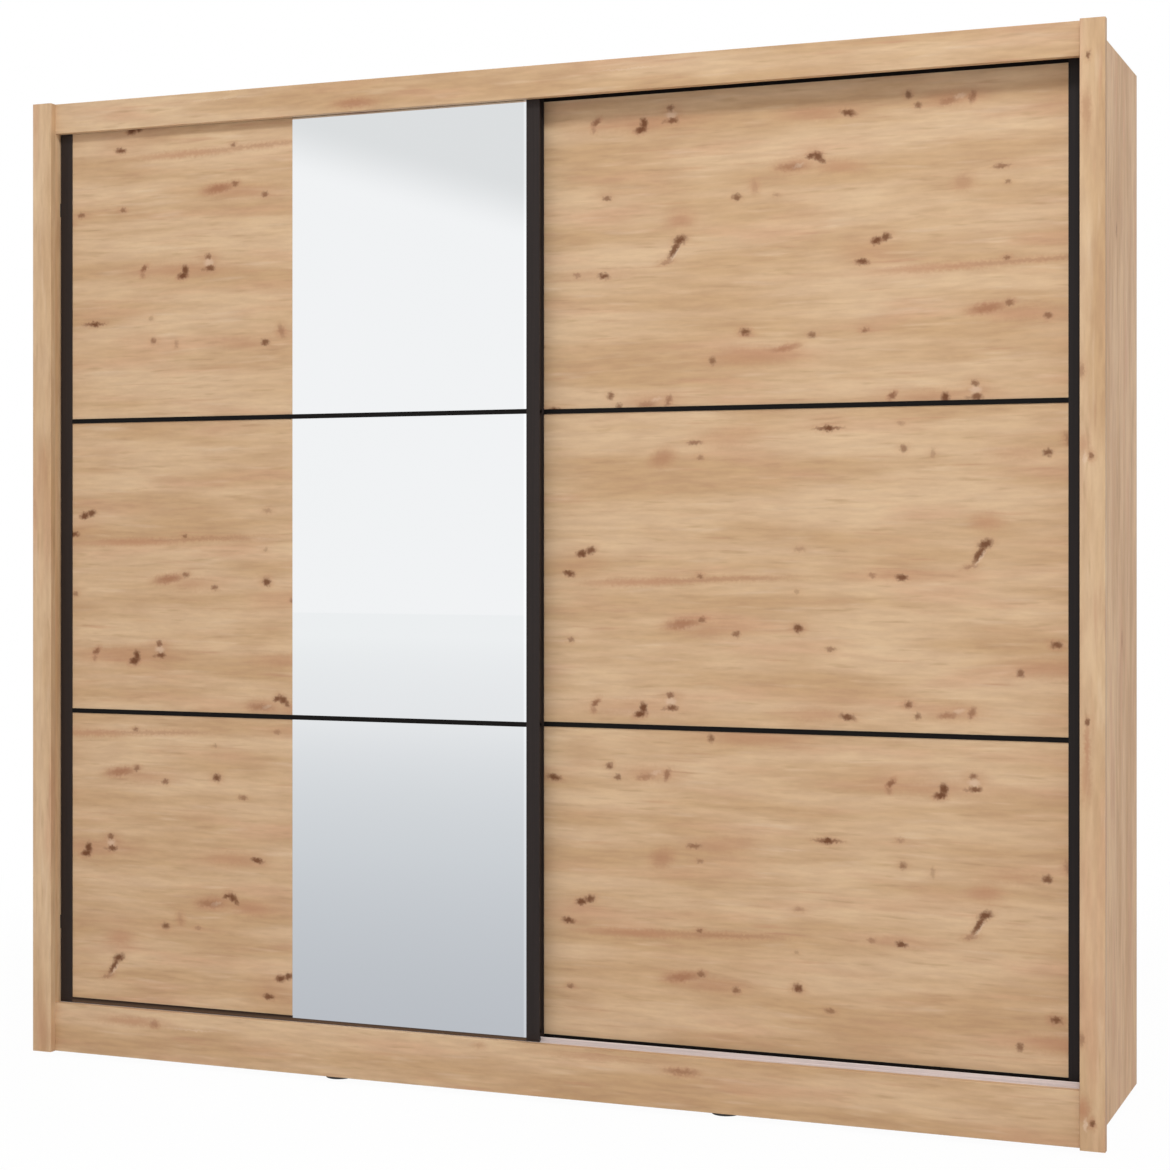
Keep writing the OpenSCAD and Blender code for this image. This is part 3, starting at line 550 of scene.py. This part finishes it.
# ---- Wood panels of the doors ----
# Panels with the same oak print, the grain level, held in the frame's grooves. The print repeats
# along its sheet, so every panel shows the same rows of knots, each from another start.
sheet_length = 1.26
knot_rows = {
    "twins": [
        (0.230, -0.004, 0.110, 0.012, 0.00, 0.00, 0.55),
        (0.140, 0.002, 0.008, 0.005, 0.60, 0.60, 0.90),
        (0.136, -0.012, 0.004, 0.006, 0.00, 0.25, 0.60),
        (0.2465, -0.006, 0.007, 0.010, 0.10, 0.92, 0.70),
        (0.2400, -0.018, 0.011, 0.006, 0.20, 0.92, 0.80),
        (0.307, 0.007, 0.018, 0.018, 0.00, 0.00, 0.55),
        (0.306, 0.009, 0.010, 0.006, 0.00, -0.45, 0.00),
        (0.305, 0.022, 0.006, 0.005, 0.00, 0.65, 0.50),
        (0.309, -0.004, 0.010, 0.005, 0.00, 0.80, 0.70),
        (0.292, -0.006, 0.006, 0.003, 0.00, 0.35, 0.40),
        (0.620, -0.010, 0.060, 0.010, 0.00, 0.00, 0.55),
        (0.680, -0.013, 0.013, 0.005, -0.15, 0.85, 0.60),
        (0.803, 0.015, 0.006, 0.006, 0.00, 0.70, 0.40),
        (0.822, -0.007, 0.006, 0.005, 0.00, 0.65, 0.30),
        (0.895, 0.002, 0.050, 0.012, 0.00, 0.00, 0.60),
        (0.882, -0.004, 0.016, 0.005, 0.10, 0.30, 0.80),
        (0.930, 0.002, 0.005, 0.010, -0.40, 0.45, 0.80),
        (0.905, 0.005, 0.010, 0.004, 0.20, -0.30, 0.00),
    ],
    "slash": [
        (0.095, 0.025, 0.050, 0.025, 0.00, 0.00, 0.30),
        (0.081, 0.005, 0.011, 0.005, -0.10, 0.85, 0.60),
        (0.110, 0.046, 0.010, 0.006, 0.20, 0.90, 0.70),
        (0.129, 0.052, 0.009, 0.006, 0.30, 0.85, 0.50),
        (0.250, -0.012, 0.100, 0.004, 0.02, 0.00, 0.75),
        (0.420, -0.006, 0.110, 0.003, 0.03, 0.12, 0.55),
        (0.370, 0.000, 0.005, 0.004, 0.00, 0.55, 0.50),
        (0.580, 0.056, 0.009, 0.004, 0.00, 0.25, 0.30),
        (0.575, -0.030, 0.004, 0.004, 0.00, 0.25, 0.20),
        (0.730, 0.004, 0.007, 0.004, 0.00, 0.35, 0.50),
        (0.790, 0.000, 0.010, 0.005, -0.10, 0.85, 0.50),
        (0.770, 0.003, 0.070, 0.007, 0.00, 0.00, 0.40),
        (0.957, 0.066, 0.012, 0.007, 0.35, 0.90, 0.40),
        (0.945, 0.048, 0.020, 0.005, 1.00, 0.85, 0.50),
        (0.946, 0.038, 0.014, 0.003, 0.95, -0.45, 0.00),
        (0.928, 0.022, 0.012, 0.003, 0.20, 0.30, 0.50),
        (0.960, 0.110, 0.022, 0.012, 0.00, 0.00, 0.60),
    ],
    "smear": [
        (0.085, -0.017, 0.006, 0.004, 0.00, 0.50, 0.40),
        (0.330, 0.018, 0.028, 0.007, 0.12, 0.25, 1.00),
        (0.373, 0.027, 0.007, 0.005, 0.10, 0.55, 0.60),
        (0.400, 0.008, 0.060, 0.010, 0.00, 0.00, 0.50),
        (0.447, 0.000, 0.007, 0.005, 0.00, 0.60, 0.50),
        (0.578, 0.013, 0.008, 0.007, 0.00, 0.85, 0.60),
        (0.645, -0.028, 0.009, 0.004, -0.10, 0.50, 0.30),
        (1.025, -0.069, 0.006, 0.007, 0.00, 0.65, 0.40),
        (1.095, -0.012, 0.009, 0.006, -0.10, 0.80, 0.60),
        (1.110, -0.060, 0.090, 0.014, 0.00, 0.00, 0.65),
        (1.180, -0.048, 0.024, 0.005, 0.20, 0.18, 0.90),
        (1.235, -0.023, 0.007, 0.005, 0.00, 0.60, 0.30),
    ],
    "flat": [
        (0.640, 0.000, 0.010, 0.005, 0.00, 0.92, 0.60),
        (0.640, 0.000, 0.024, 0.003, 0.00, 0.70, 0.50),
        (0.358, -0.024, 0.013, 0.004, 0.05, 0.55, 0.50),
        (0.370, -0.055, 0.006, 0.004, 0.00, 0.40, 0.20),
        (0.288, -0.053, 0.018, 0.014, 0.40, 0.10, 0.65),
        (0.420, -0.018, 0.060, 0.012, 0.05, 0.00, 0.50),
        (0.788, 0.008, 0.006, 0.004, 0.00, 0.25, 0.20),
        (0.794, -0.042, 0.006, 0.006, 0.00, 0.55, 0.30),
        (0.853, -0.052, 0.004, 0.008, 0.00, 0.25, 0.20),
        (1.020, -0.054, 0.050, 0.008, 0.00, 0.00, 0.45),
        (1.078, -0.054, 0.008, 0.006, 0.00, 0.80, 0.40),
        (1.118, -0.030, 0.006, 0.012, 0.30, 0.30, 0.50),
    ],
    "arrow": [
        (0.604, 0.004, 0.009, 0.004, 0.30, 0.85, 0.60),
        (0.617, 0.002, 0.010, 0.007, -0.60, 0.85, 0.70),
        (0.627, -0.006, 0.008, 0.004, -0.90, 0.70, 0.50),
        (0.570, -0.012, 0.030, 0.010, 0.00, 0.00, 0.70),
        (0.560, -0.015, 0.024, 0.006, 0.00, 0.30, 0.80),
        (0.577, -0.014, 0.010, 0.003, 0.30, -0.40, 0.00),
        (0.660, -0.018, 0.040, 0.010, -0.10, 0.00, 0.60),
        (0.165, -0.058, 0.008, 0.004, -0.10, 0.65, 0.30),
        (0.447, -0.070, 0.008, 0.006, 0.00, 0.75, 0.30),
        (0.485, -0.052, 0.005, 0.012, 0.20, 0.12, 0.50),
        (0.530, -0.070, 0.006, 0.003, 0.00, 0.25, 0.20),
        (0.912, -0.066, 0.014, 0.012, 0.40, 0.12, 0.45),
        (0.988, -0.039, 0.014, 0.004, 0.05, 0.55, 0.40),
        (1.000, -0.070, 0.005, 0.004, 0.00, 0.50, 0.20),
    ],
}
# what each panel shows: (row, start of the sheet along the panel, height of the row), in metres
panel_rows = {
    "left_door_wood_top": [("slash", 0.046, 0.591), ("smear", 0.048, 0.479),
                           ("twins", 0.048, 0.327), ("flat", -0.582, 0.209)],
    "left_door_wood_middle": [("slash", -0.078, 0.385), ("smear", -0.078, 0.272),
                              ("twins", -0.077, 0.124), ("arrow", -0.077, 0.026)],
    "left_door_wood_bottom": [("slash", -0.204, 0.612), ("smear", -0.204, 0.498),
                              ("twins", -0.204, 0.347), ("arrow", -0.203, 0.247),
                              ("slash", 0.425, 0.033)],
    "right_door_wood_top": [("twins", 0.001, 0.586), ("arrow", 0.001, 0.488),
                            ("slash", -0.631, 0.270), ("smear", -0.629, 0.156),
                            ("twins", 0.631, 0.006)],
    "right_door_wood_middle": [("flat", 0.000, 0.599), ("slash", 0.000, 0.302),
                               ("smear", 0.000, 0.186), ("twins", 0.000, 0.036)],
    "right_door_wood_bottom": [("smear", -0.632, 0.700), ("twins", 0.628, 0.552),
                               ("flat", -0.001, 0.434), ("slash", -0.001, 0.237),
                               ("smear", -0.001, 0.122)],
}
# where each panel's streaks start in the noise
panel_seeds = {
    "left_door_wood_top": 6.15, "left_door_wood_middle": 8.0, "left_door_wood_bottom": 13.0,
    "right_door_wood_top": 28.0, "right_door_wood_middle": 23.0, "right_door_wood_bottom": 38.0,
}
groove_bite = 0.008
knot_margin = 0.05
low_margin = 0.01
for panel, rows in panel_rows.items():
    low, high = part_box(panel)
    corner = low + Vector((groove_bite, 0.0, groove_bite))
    length, height = high.x - corner.x, high.z - corner.z
    knots = []
    for row, start, level in rows:
        for along, across, *shape in knot_rows[row]:
            for lap in (-sheet_length, 0.0, sheet_length):
                place, rise = along + start + lap, across + level
                if -knot_margin < place < length + knot_margin and -low_margin < rise < height:
                    knots.append((place, rise, *shape))
    dress(panel, oak_material("oak_" + panel, corner, "x", panel_seeds[panel], knots))

# ---- Mirrors ----
# Silvered float glass, 4 mm, bonded to the backing board beside the wood panels. A narrow ground
# bevel runs along the edge at the profile.
bevel_w = 0.0075
bevel_soft = 0.7
polish = 0.01
ground_roughness = 0.04
painted_bevel_highlight = 0.11


def mirror_material():
    material, tree, shader = new_material("silvered_glass")
    place = surface_place(tree)
    film = specks(tree, place, 3.0)
    colour = mixed(tree, film, paint(249, 249, 250), paint(247, 248, 248))
    tree.links.new(colour, shader.inputs["Base Color"])
    shader.inputs["Metallic"].default_value = 1.0
    beside = parted(tree, place)[0]
    bevel_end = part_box("left_door_inner_profile")[0].x
    ground = spread(tree, beside, bevel_end - bevel_w, bevel_end - bevel_soft * bevel_w)
    roughness = maths(tree, "MULTIPLY_ADD", ground, ground_roughness, polish)
    tree.links.new(roughness, shader.inputs["Roughness"])
    # painted highlight: the ground bevel glows faintly, standing in for a highlight along it
    bevel_glint = maths(tree, "MULTIPLY", ground, painted_bevel_highlight)
    tree.links.new(joined(tree, bevel_glint, bevel_glint, bevel_glint), shader.inputs["Emission Color"])
    shader.inputs["Emission Strength"].default_value = 1.0
    return material


mirror_glass = mirror_material()
for pane in ("left_door_mirror_bottom", "left_door_mirror_middle", "left_door_mirror_top"):
    dress(pane, mirror_glass)
dress("left_door_backing_boards", hardboard_material("backing_board", *sheet_colours))

# ---- Pile strips ----
# A soft brush behind each door's inner profile keeps dust out of the gap between the doors. Tufts
# of dark grey fibre stand in a woven tape, which is glued to the profile.
tape_w = 0.006
tape_t = 0.0008
tuft_pitch = 0.002
tuft_rows = 3
pile_clear = 0.0015
strip_end_gap = 0.040
# the share of its pitch that a tuft fills, and how its free end grows
tuft_fill = 0.7
tuft_splay = (0.8, 1.0, 1.3)


def pile_material():
    material, tree, shader = new_material("pile_fibre")
    fibre = vectors(tree, "MULTIPLY", surface_place(tree), (2600.0, 160.0, 2600.0))
    strands = cloud(tree, fibre, 2.0)[0]
    colour = mixed(tree, spread(tree, strands, 0.3, 0.7), paint(46, 44, 43), paint(84, 81, 78))
    tree.links.new(colour, shader.inputs["Base Color"])
    tree.links.new(maths(tree, "MULTIPLY_ADD", strands, 0.10, 0.82), shader.inputs["Roughness"])
    roughen(tree, shader, strands, 0.0002)
    return material


def chosen_faces(piece, test):
    """Leaves just the faces that pass the test selected, and goes into edit mode."""
    bpy.ops.object.mode_set(mode="EDIT")
    bpy.ops.mesh.select_mode(type="FACE")
    bpy.ops.mesh.select_all(action="DESELECT")
    bpy.ops.object.mode_set(mode="OBJECT")
    for face in piece.data.polygons:
        face.select = test(face)
    bpy.ops.object.mode_set(mode="EDIT")


def repeated(piece, count, step):
    """Repeats the piece count times, each copy a step further, and applies it."""
    array = piece.modifiers.new("repeat", "ARRAY")
    array.count = count
    array.use_relative_offset = False
    array.use_constant_offset = True
    array.constant_offset_displace = step
    bpy.ops.object.modifier_apply(modifier=array.name)


def pile_strip(name, x, face_y, tip_y, z_low, z_high):
    """A strip at x whose tape lies on face_y and whose tufts end at tip_y."""
    outward = 1 if tip_y > face_y else -1
    tape_y = face_y + outward * tape_t
    tuft_l = abs(tip_y - tape_y)
    tuft_w = tuft_fill * tape_w / tuft_rows
    bpy.ops.object.select_all(action="DESELECT")
    bpy.ops.mesh.primitive_cube_add(size=1, location=(x - tape_w / 3, (tape_y + tip_y) / 2, z_low),
                                    scale=(tuft_w, tuft_l, tuft_fill * tuft_pitch))
    tufts = bpy.context.object
    bpy.ops.object.transform_apply(location=True, rotation=False, scale=True)
    # the free end of a tuft splays a little along the strip
    chosen_faces(tufts, lambda face: face.normal.y * outward > 0.5)
    bpy.ops.transform.resize(value=tuft_splay)
    bpy.ops.object.mode_set(mode="OBJECT")
    repeated(tufts, tuft_rows, (tape_w / tuft_rows, 0, tuft_pitch / tuft_rows))
    repeated(tufts, int((z_high - z_low) / tuft_pitch), (0, 0, tuft_pitch))

    bpy.ops.object.select_all(action="DESELECT")
    bpy.ops.mesh.primitive_cube_add(size=1, location=(x, (face_y + tape_y) / 2, (z_low + z_high) / 2),
                                    scale=(tape_w, tape_t, z_high - z_low + 2 * tuft_pitch))
    tape = bpy.context.object
    bpy.ops.object.transform_apply(location=True, rotation=False, scale=True)
    rim = tape.modifiers.new("rim", "BEVEL")
    rim.width = tape_t / 3
    rim.segments = 2
    bpy.ops.object.modifier_apply(modifier=rim.name)
    tufts.select_set(True)
    bpy.ops.object.join()
    tape.name = name
    return tape


pile = pile_material()
left_low, left_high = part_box("left_door_inner_profile")
right_low, right_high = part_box("right_door_inner_profile")
strip_low, strip_high = left_low.z + strip_end_gap, left_high.z - strip_end_gap
pile_strips = {
    "left_door": pile_strip("left_door_pile_strip", (left_low.x + left_high.x) / 2, left_high.y,
                            right_low.y - pile_clear, strip_low, strip_high),
    "right_door": pile_strip("right_door_pile_strip", (right_low.x + right_high.x) / 2, right_low.y,
                             left_high.y + pile_clear, strip_low, strip_high),
}
for body, strip in pile_strips.items():
    strip.data.materials.clear()
    strip.data.materials.append(pile)
    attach(strip, body)

# ---- Tracks ----
# Extruded aluminium, natural finish, screwed to the top and bottom panel. The bottom one has a
# round rib under each door, and the top one a channel over it.
track_metal = coated_metal("pale_track_metal", paint(222, 208, 204), 0.34, (0.40, 0.003, 0.003))
for track in ("top_track", "bottom_track"):
    dress(track, track_metal)

# ---- Rollers, cages and guides ----
# Nylon wheels, turned, in cages of bent zinc-plated sheet with height screws, and moulded guide
# blocks on the top rails. The shelf pins, cam fittings and rail sockets are zinc-plated too.
flecks_per_metre = 900.0
fleck_depth = 0.00003
spangles_per_metre = 260.0


def moulded_plastic(name, colour, roughness):
    material, tree, shader = new_material(name)
    fleck = specks(tree, surface_place(tree), flecks_per_metre)
    tone = spread(tree, fleck, 0.2, 0.8, 0.94, 1.05)
    tree.links.new(toned(tree, colour, tone), shader.inputs["Base Color"])
    tree.links.new(maths(tree, "MULTIPLY_ADD", fleck, 0.1, roughness), shader.inputs["Roughness"])
    roughen(tree, shader, fleck, fleck_depth)
    return material


def plated_steel(name, colour, roughness, mottling=1.0):
    """mottling is how strongly the plating's spangles show: 1 for zinc, near 0 for polished chrome."""
    material, tree, shader = new_material(name)
    spangle = specks(tree, surface_place(tree), spangles_per_metre)
    tone = spread(tree, spangle, 0.3, 0.7, 1.0 - 0.10 * mottling, 1.0 + 0.08 * mottling)
    tree.links.new(toned(tree, colour, tone), shader.inputs["Base Color"])
    shader.inputs["Metallic"].default_value = 1.0
    wear_and_painted_reflection = maths(tree, "MULTIPLY_ADD", spangle, 0.15 * mottling, roughness)
    tree.links.new(wear_and_painted_reflection, shader.inputs["Roughness"])
    return material


pale_nylon = moulded_plastic("pale_nylon", paint(228, 227, 221), 0.38)
zinc_plate = plated_steel("zinc_plate", paint(196, 199, 203), 0.28)
for door in ("left_door_", "right_door_"):
    for part in ("outer_roller", "inner_roller", "top_guides"):
        dress(door + part, pale_nylon)
    dress(door + "roller_cages", zinc_plate)
for part in ("shelf_supports", "cam_fittings", "rail_sockets"):
    dress(part, zinc_plate)

# ---- Hanging rails ----
# Round steel tube, chrome plated, cut to the width of its bay. Its ends lie in sockets that are
# screwed to the uprights.
chrome_tube = plated_steel("chrome_tube", paint(225, 227, 230), 0.07, mottling=0.15)
for tube in ("hanging_rail_middle", "hanging_rail_right"):
    dress(tube, chrome_tube)

# ---- Screws ----
# Pan-head screws with a cross recess: zinc-plated ones through the sockets' flanges and along the
# tracks, and black ones that draw each door's rails into its uprights.
head_r = 0.0034
head_h = 0.0015
recess_w = 0.0009
recess_depth = 0.0010
flat_head_h = 0.0005
head_sides = 20
# shares of a head's radius or height
head_rounding = (0.25, 0.15)
head_crown = 0.1
recess_span = 1.1
deepest_recess = 0.6

sharp_edge = math.radians(35)


def screw_head(radius, height):
    """A head that stands on the zero plane and faces up, with rounded edges and a cross cut in it."""
    bpy.ops.object.select_all(action="DESELECT")
    bpy.ops.mesh.primitive_cylinder_add(vertices=head_sides, radius=radius, depth=height,
                                        location=(0, 0, height / 2))
    head = bpy.context.object
    bpy.ops.object.transform_apply(location=True, rotation=False, scale=False)
    chosen_faces(head, lambda face: face.normal.z > 0.9)
    for step in head_rounding:
        bpy.ops.mesh.inset(thickness=step * radius)
    bpy.ops.transform.translate(value=(0, 0, head_crown * height))
    bpy.ops.object.mode_set(mode="OBJECT")
    chosen_faces(head, lambda face: abs(face.normal.z) < 0.1)
    bpy.ops.mesh.subdivide(number_cuts=1)
    bpy.ops.object.mode_set(mode="OBJECT")
    recess = min(recess_depth, deepest_recess * height)
    for turn in (0.0, math.pi / 2):
        bpy.ops.object.select_all(action="DESELECT")
        bpy.ops.mesh.primitive_cube_add(size=1, location=(0, 0, height), rotation=(0, 0, turn),
                                        scale=(recess_span * radius, recess_w, 2 * recess))
        cutter = bpy.context.object
        bpy.context.view_layer.objects.active = head
        slot = head.modifiers.new("recess", "BOOLEAN")
        slot.operation = "DIFFERENCE"
        slot.object = cutter
        bpy.ops.object.modifier_apply(modifier=slot.name)
        bpy.data.objects.remove(cutter)
    bpy.ops.object.select_all(action="DESELECT")
    head.select_set(True)
    bpy.context.view_layer.objects.active = head
    bpy.ops.object.shade_smooth_by_angle(angle=sharp_edge)
    return head


def stood(head, places, facing, name, material, body):
    """One piece made of copies of a head: one on each place, facing the way that facing points."""
    copies = []
    for place in places:
        copy = head.copy()
        copy.data = head.data.copy()
        bpy.context.scene.collection.objects.link(copy)
        copy.location = place
        copy.rotation_euler = facing.to_track_quat("Z", "X").to_euler()
        copies.append(copy)
    bpy.ops.object.select_all(action="DESELECT")
    for copy in copies:
        copy.select_set(True)
    bpy.context.view_layer.objects.active = copies[0]
    bpy.ops.object.transform_apply(location=True, rotation=True, scale=True)
    bpy.ops.object.join()
    group = copies[0]
    group.name = name
    group.data.materials.clear()
    group.data.materials.append(material)
    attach(group, body)


bright_screw = plated_steel("bright_screw", paint(202, 204, 206), 0.24)
black_screw = plated_steel("black_screw", paint(40, 37, 36), 0.35)
pan_head = screw_head(head_r, head_h)
flat_head = screw_head(head_r, flat_head_h)

# three in each flange, between its collar and its rim
flange_t = 0.003
flange_ring_r = 0.0198
socket_low, socket_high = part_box("rail_sockets")
socket_y, socket_z = (socket_low.y + socket_high.y) / 2, (socket_low.z + socket_high.z) / 2
socket_faces = ((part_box("partition_left")[1].x, 1), (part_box("partition_right")[0].x, -1),
                (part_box("partition_right")[1].x, 1), (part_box("side_panel_right")[0].x, -1))
for number, (face_x, inward) in enumerate(socket_faces):
    places = []
    for turn in (90, 210, 330):
        angle = math.radians(turn)
        places.append((face_x + inward * flange_t, socket_y + flange_ring_r * math.cos(angle),
                       socket_z + flange_ring_r * math.sin(angle)))
    stood(pan_head, places, Vector((inward, 0, 0)), "socket_screws_%d" % (number + 1), bright_screw,
          "carcass")

# along the tracks, clear of the doors' ends
track_screws = 7
track_plate_t = 0.0015
end_screw_share = 0.92
ahead_of_rails = 0.007
track_low, track_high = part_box("bottom_track")
track_reach = end_screw_share * track_high.x
screw_pitch = 2 * track_reach / (track_screws - 1)
screw_xs = [screw_pitch * step - track_reach for step in range(track_screws)]
rail_backs = [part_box(door + "_bottom_rail")[1].y for door in ("left_door", "right_door")]
between_ribs = sum(rail_backs) / 2 - ahead_of_rails
stood(flat_head, [(x, between_ribs, track_low.z + track_plate_t) for x in screw_xs], Vector((0, 0, 1)),
      "bottom_track_screws", bright_screw, "carcass")
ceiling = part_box("top_track")[1].z - track_plate_t
for number, door in enumerate(("left_door_", "right_door_")):
    guide_low, guide_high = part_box(door + "top_guides")
    channel = (guide_low.y + guide_high.y) / 2
    stood(pan_head, [(x, channel, ceiling) for x in screw_xs], Vector((0, 0, -1)),
          "top_track_screws_%d" % (number + 1), bright_screw, "carcass")

# through the uprights' grips into the ends of the rails
grip_depth = 0.0035
above_bottom_rail, below_top_rail, in_divider = 0.020, 0.006, 0.005
for door, side in (("left_door", 1), ("right_door", -1)):
    low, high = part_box(door + "_dividers")
    levels = [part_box(door + "_bottom_rail")[0].z + above_bottom_rail, low.z + in_divider,
              high.z - in_divider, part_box(door + "_top_rail")[1].z - below_top_rail]
    for profile, outward in (("inner", side), ("outer", -side)):
        upright_low, upright_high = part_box("%s_%s_profile" % (door, profile))
        edge = (upright_high.x if outward > 0 else upright_low.x) - outward * grip_depth
        middle = (upright_low.y + upright_high.y) / 2
        stood(pan_head, [(edge, middle, level) for level in levels], Vector((outward, 0, 0)),
              "%s_%s_screws" % (door, profile), black_screw, door)
bpy.data.objects.remove(pan_head)
bpy.data.objects.remove(flat_head)

# ---- Feet and bumpers ----
# Dark moulded legs under the bottom panel and glides under the side panels, and soft pads on the
# side panels that the doors stop against.
dark_plastic = moulded_plastic("dark_plastic", paint(96, 92, 88), 0.5)
soft_pad = moulded_plastic("soft_pad", paint(48, 46, 45), 0.8)
for part in ("legs", "glides"):
    dress(part, dark_plastic)
dress("door_bumpers", soft_pad)

# ---- Studio ----
# A plain pale floor and a white surround that light the wardrobe softly from all sides. One round
# lamp stands in front, high and to the right.
floor_half = 30.0
white = (1.0, 1.0, 1.0, 1.0)


def only_for(tree, path_output, normal, special):
    """A shader that is special for the rays that path_output names and normal for the others."""
    step = tree.nodes.new("ShaderNodeMixShader")
    tree.links.new(path_output, step.inputs[0])
    tree.links.new(normal, step.inputs[1])
    tree.links.new(special, step.inputs[2])
    return step.outputs[0]


def glow(tree, colour, strength=1.0):
    step = tree.nodes.new("ShaderNodeEmission")
    feed(tree, step.inputs["Color"], colour)
    feed(tree, step.inputs["Strength"], strength)
    return step.outputs[0]


bpy.ops.object.select_all(action="DESELECT")
bpy.ops.mesh.primitive_plane_add(size=2 * floor_half, location=(0, 0, 0))
floor = bpy.context.object
floor.name = "studio_floor"
floor_material = bpy.data.materials.new("studio_floor")
floor_material.use_nodes = True
tree = floor_material.node_tree
tree.nodes.remove(tree.nodes["Principled BSDF"])
surface = tree.nodes.new("ShaderNodeBsdfDiffuse")
surface.inputs["Color"].default_value = (0.85, 0.85, 0.85, 1.0)
light_path = tree.nodes.new("ShaderNodeLightPath")
place = surface_place(tree)
# the mirrors show a floor that pales with its distance in front of the wardrobe
paling_end = 24.0
depth = maths(tree, "MULTIPLY", parted(tree, place)[1], -1.0)
ramp = tree.nodes.new("ShaderNodeValToRGB")
tree.links.new(maths(tree, "DIVIDE", depth, paling_end), ramp.inputs[0])
ramp.color_ramp.elements[0].position = 0.03
ramp.color_ramp.elements[0].color = paint(190, 194, 200)
ramp.color_ramp.elements[1].position = 0.90
ramp.color_ramp.elements[1].color = paint(243, 245, 246)
for stretch, shade in ((0.15, paint(209, 213, 217)), (0.38, paint(233, 235, 237))):
    ramp.color_ramp.elements.new(stretch).color = shade
# seen by the camera the floor keeps a faint shadow near the wardrobe and is plain white far off
shadow_end, white_start = 1.6, 3.6
far_off = vectors(tree, "LENGTH", place)
whitened = tree.nodes.new("ShaderNodeMixShader")
tree.links.new(spread(tree, far_off, shadow_end, white_start, 0.97, 1.0), whitened.inputs[0])
tree.links.new(surface.outputs[0], whitened.inputs[1])
tree.links.new(glow(tree, white), whitened.inputs[2])
seen = only_for(tree, light_path.outputs["Is Camera Ray"], surface.outputs[0], whitened.outputs[0])
seen = only_for(tree, light_path.outputs["Is Glossy Ray"], seen, glow(tree, ramp.outputs[0]))
tree.links.new(seen, tree.nodes["Material Output"].inputs[0])
floor.data.materials.append(floor_material)

world = bpy.data.worlds.new("studio")
bpy.context.scene.world = world
world.use_nodes = True
tree = world.node_tree
tree.nodes.clear()
light_path = tree.nodes.new("ShaderNodeLightPath")
texture = tree.nodes.new("ShaderNodeTexCoord")
ray_x, _, ray_z = parted(tree, texture.outputs["Generated"])
# overhead screen, seen only in the mirrors: a soft grey shape whose lower edge dips to the right
dip_start, dip_slope = 0.47, 0.30
screen_fades, screen_full = 0.150, 0.176
dip = maths(tree, "MULTIPLY", maths(tree, "ADD", ray_x, dip_start), dip_slope)
overhead = spread(tree, maths(tree, "ADD", ray_z, dip), screen_fades, screen_full)
mirror_view = mixed(tree, overhead, paint(248, 249, 250), paint(226, 228, 229))


def background(colour, strength):
    step = tree.nodes.new("ShaderNodeBackground")
    feed(tree, step.inputs["Color"], colour)
    step.inputs["Strength"].default_value = strength
    return step.outputs[0]


room_light = 0.61
room_colour = (1.05, 1.00, 0.97, 1.0)
around = background(room_colour, room_light)
around = only_for(tree, light_path.outputs["Is Glossy Ray"], around, background(mirror_view, 1.0))
around = only_for(tree, light_path.outputs["Is Camera Ray"], around, background(white, 1.0))
out = tree.nodes.new("ShaderNodeOutputWorld")
tree.links.new(around, out.inputs[0])

key_data = bpy.data.lights.new("key_lamp", "AREA")
key_data.shape = "DISK"
key_data.size = 1.2
key_data.energy = 204.0
key_data.color = (0.93, 1.0, 1.04)
key = bpy.data.objects.new("key_lamp", key_data)
key.location = (2.0, -4.5, 6.3)
lit_middle = Vector((0.0, -0.25, 1.1))
key.rotation_euler = (lit_middle - key.location).to_track_quat("-Z", "Y").to_euler()
bpy.context.scene.collection.objects.link(key)

bpy.context.scene.view_settings.view_transform = "Standard"
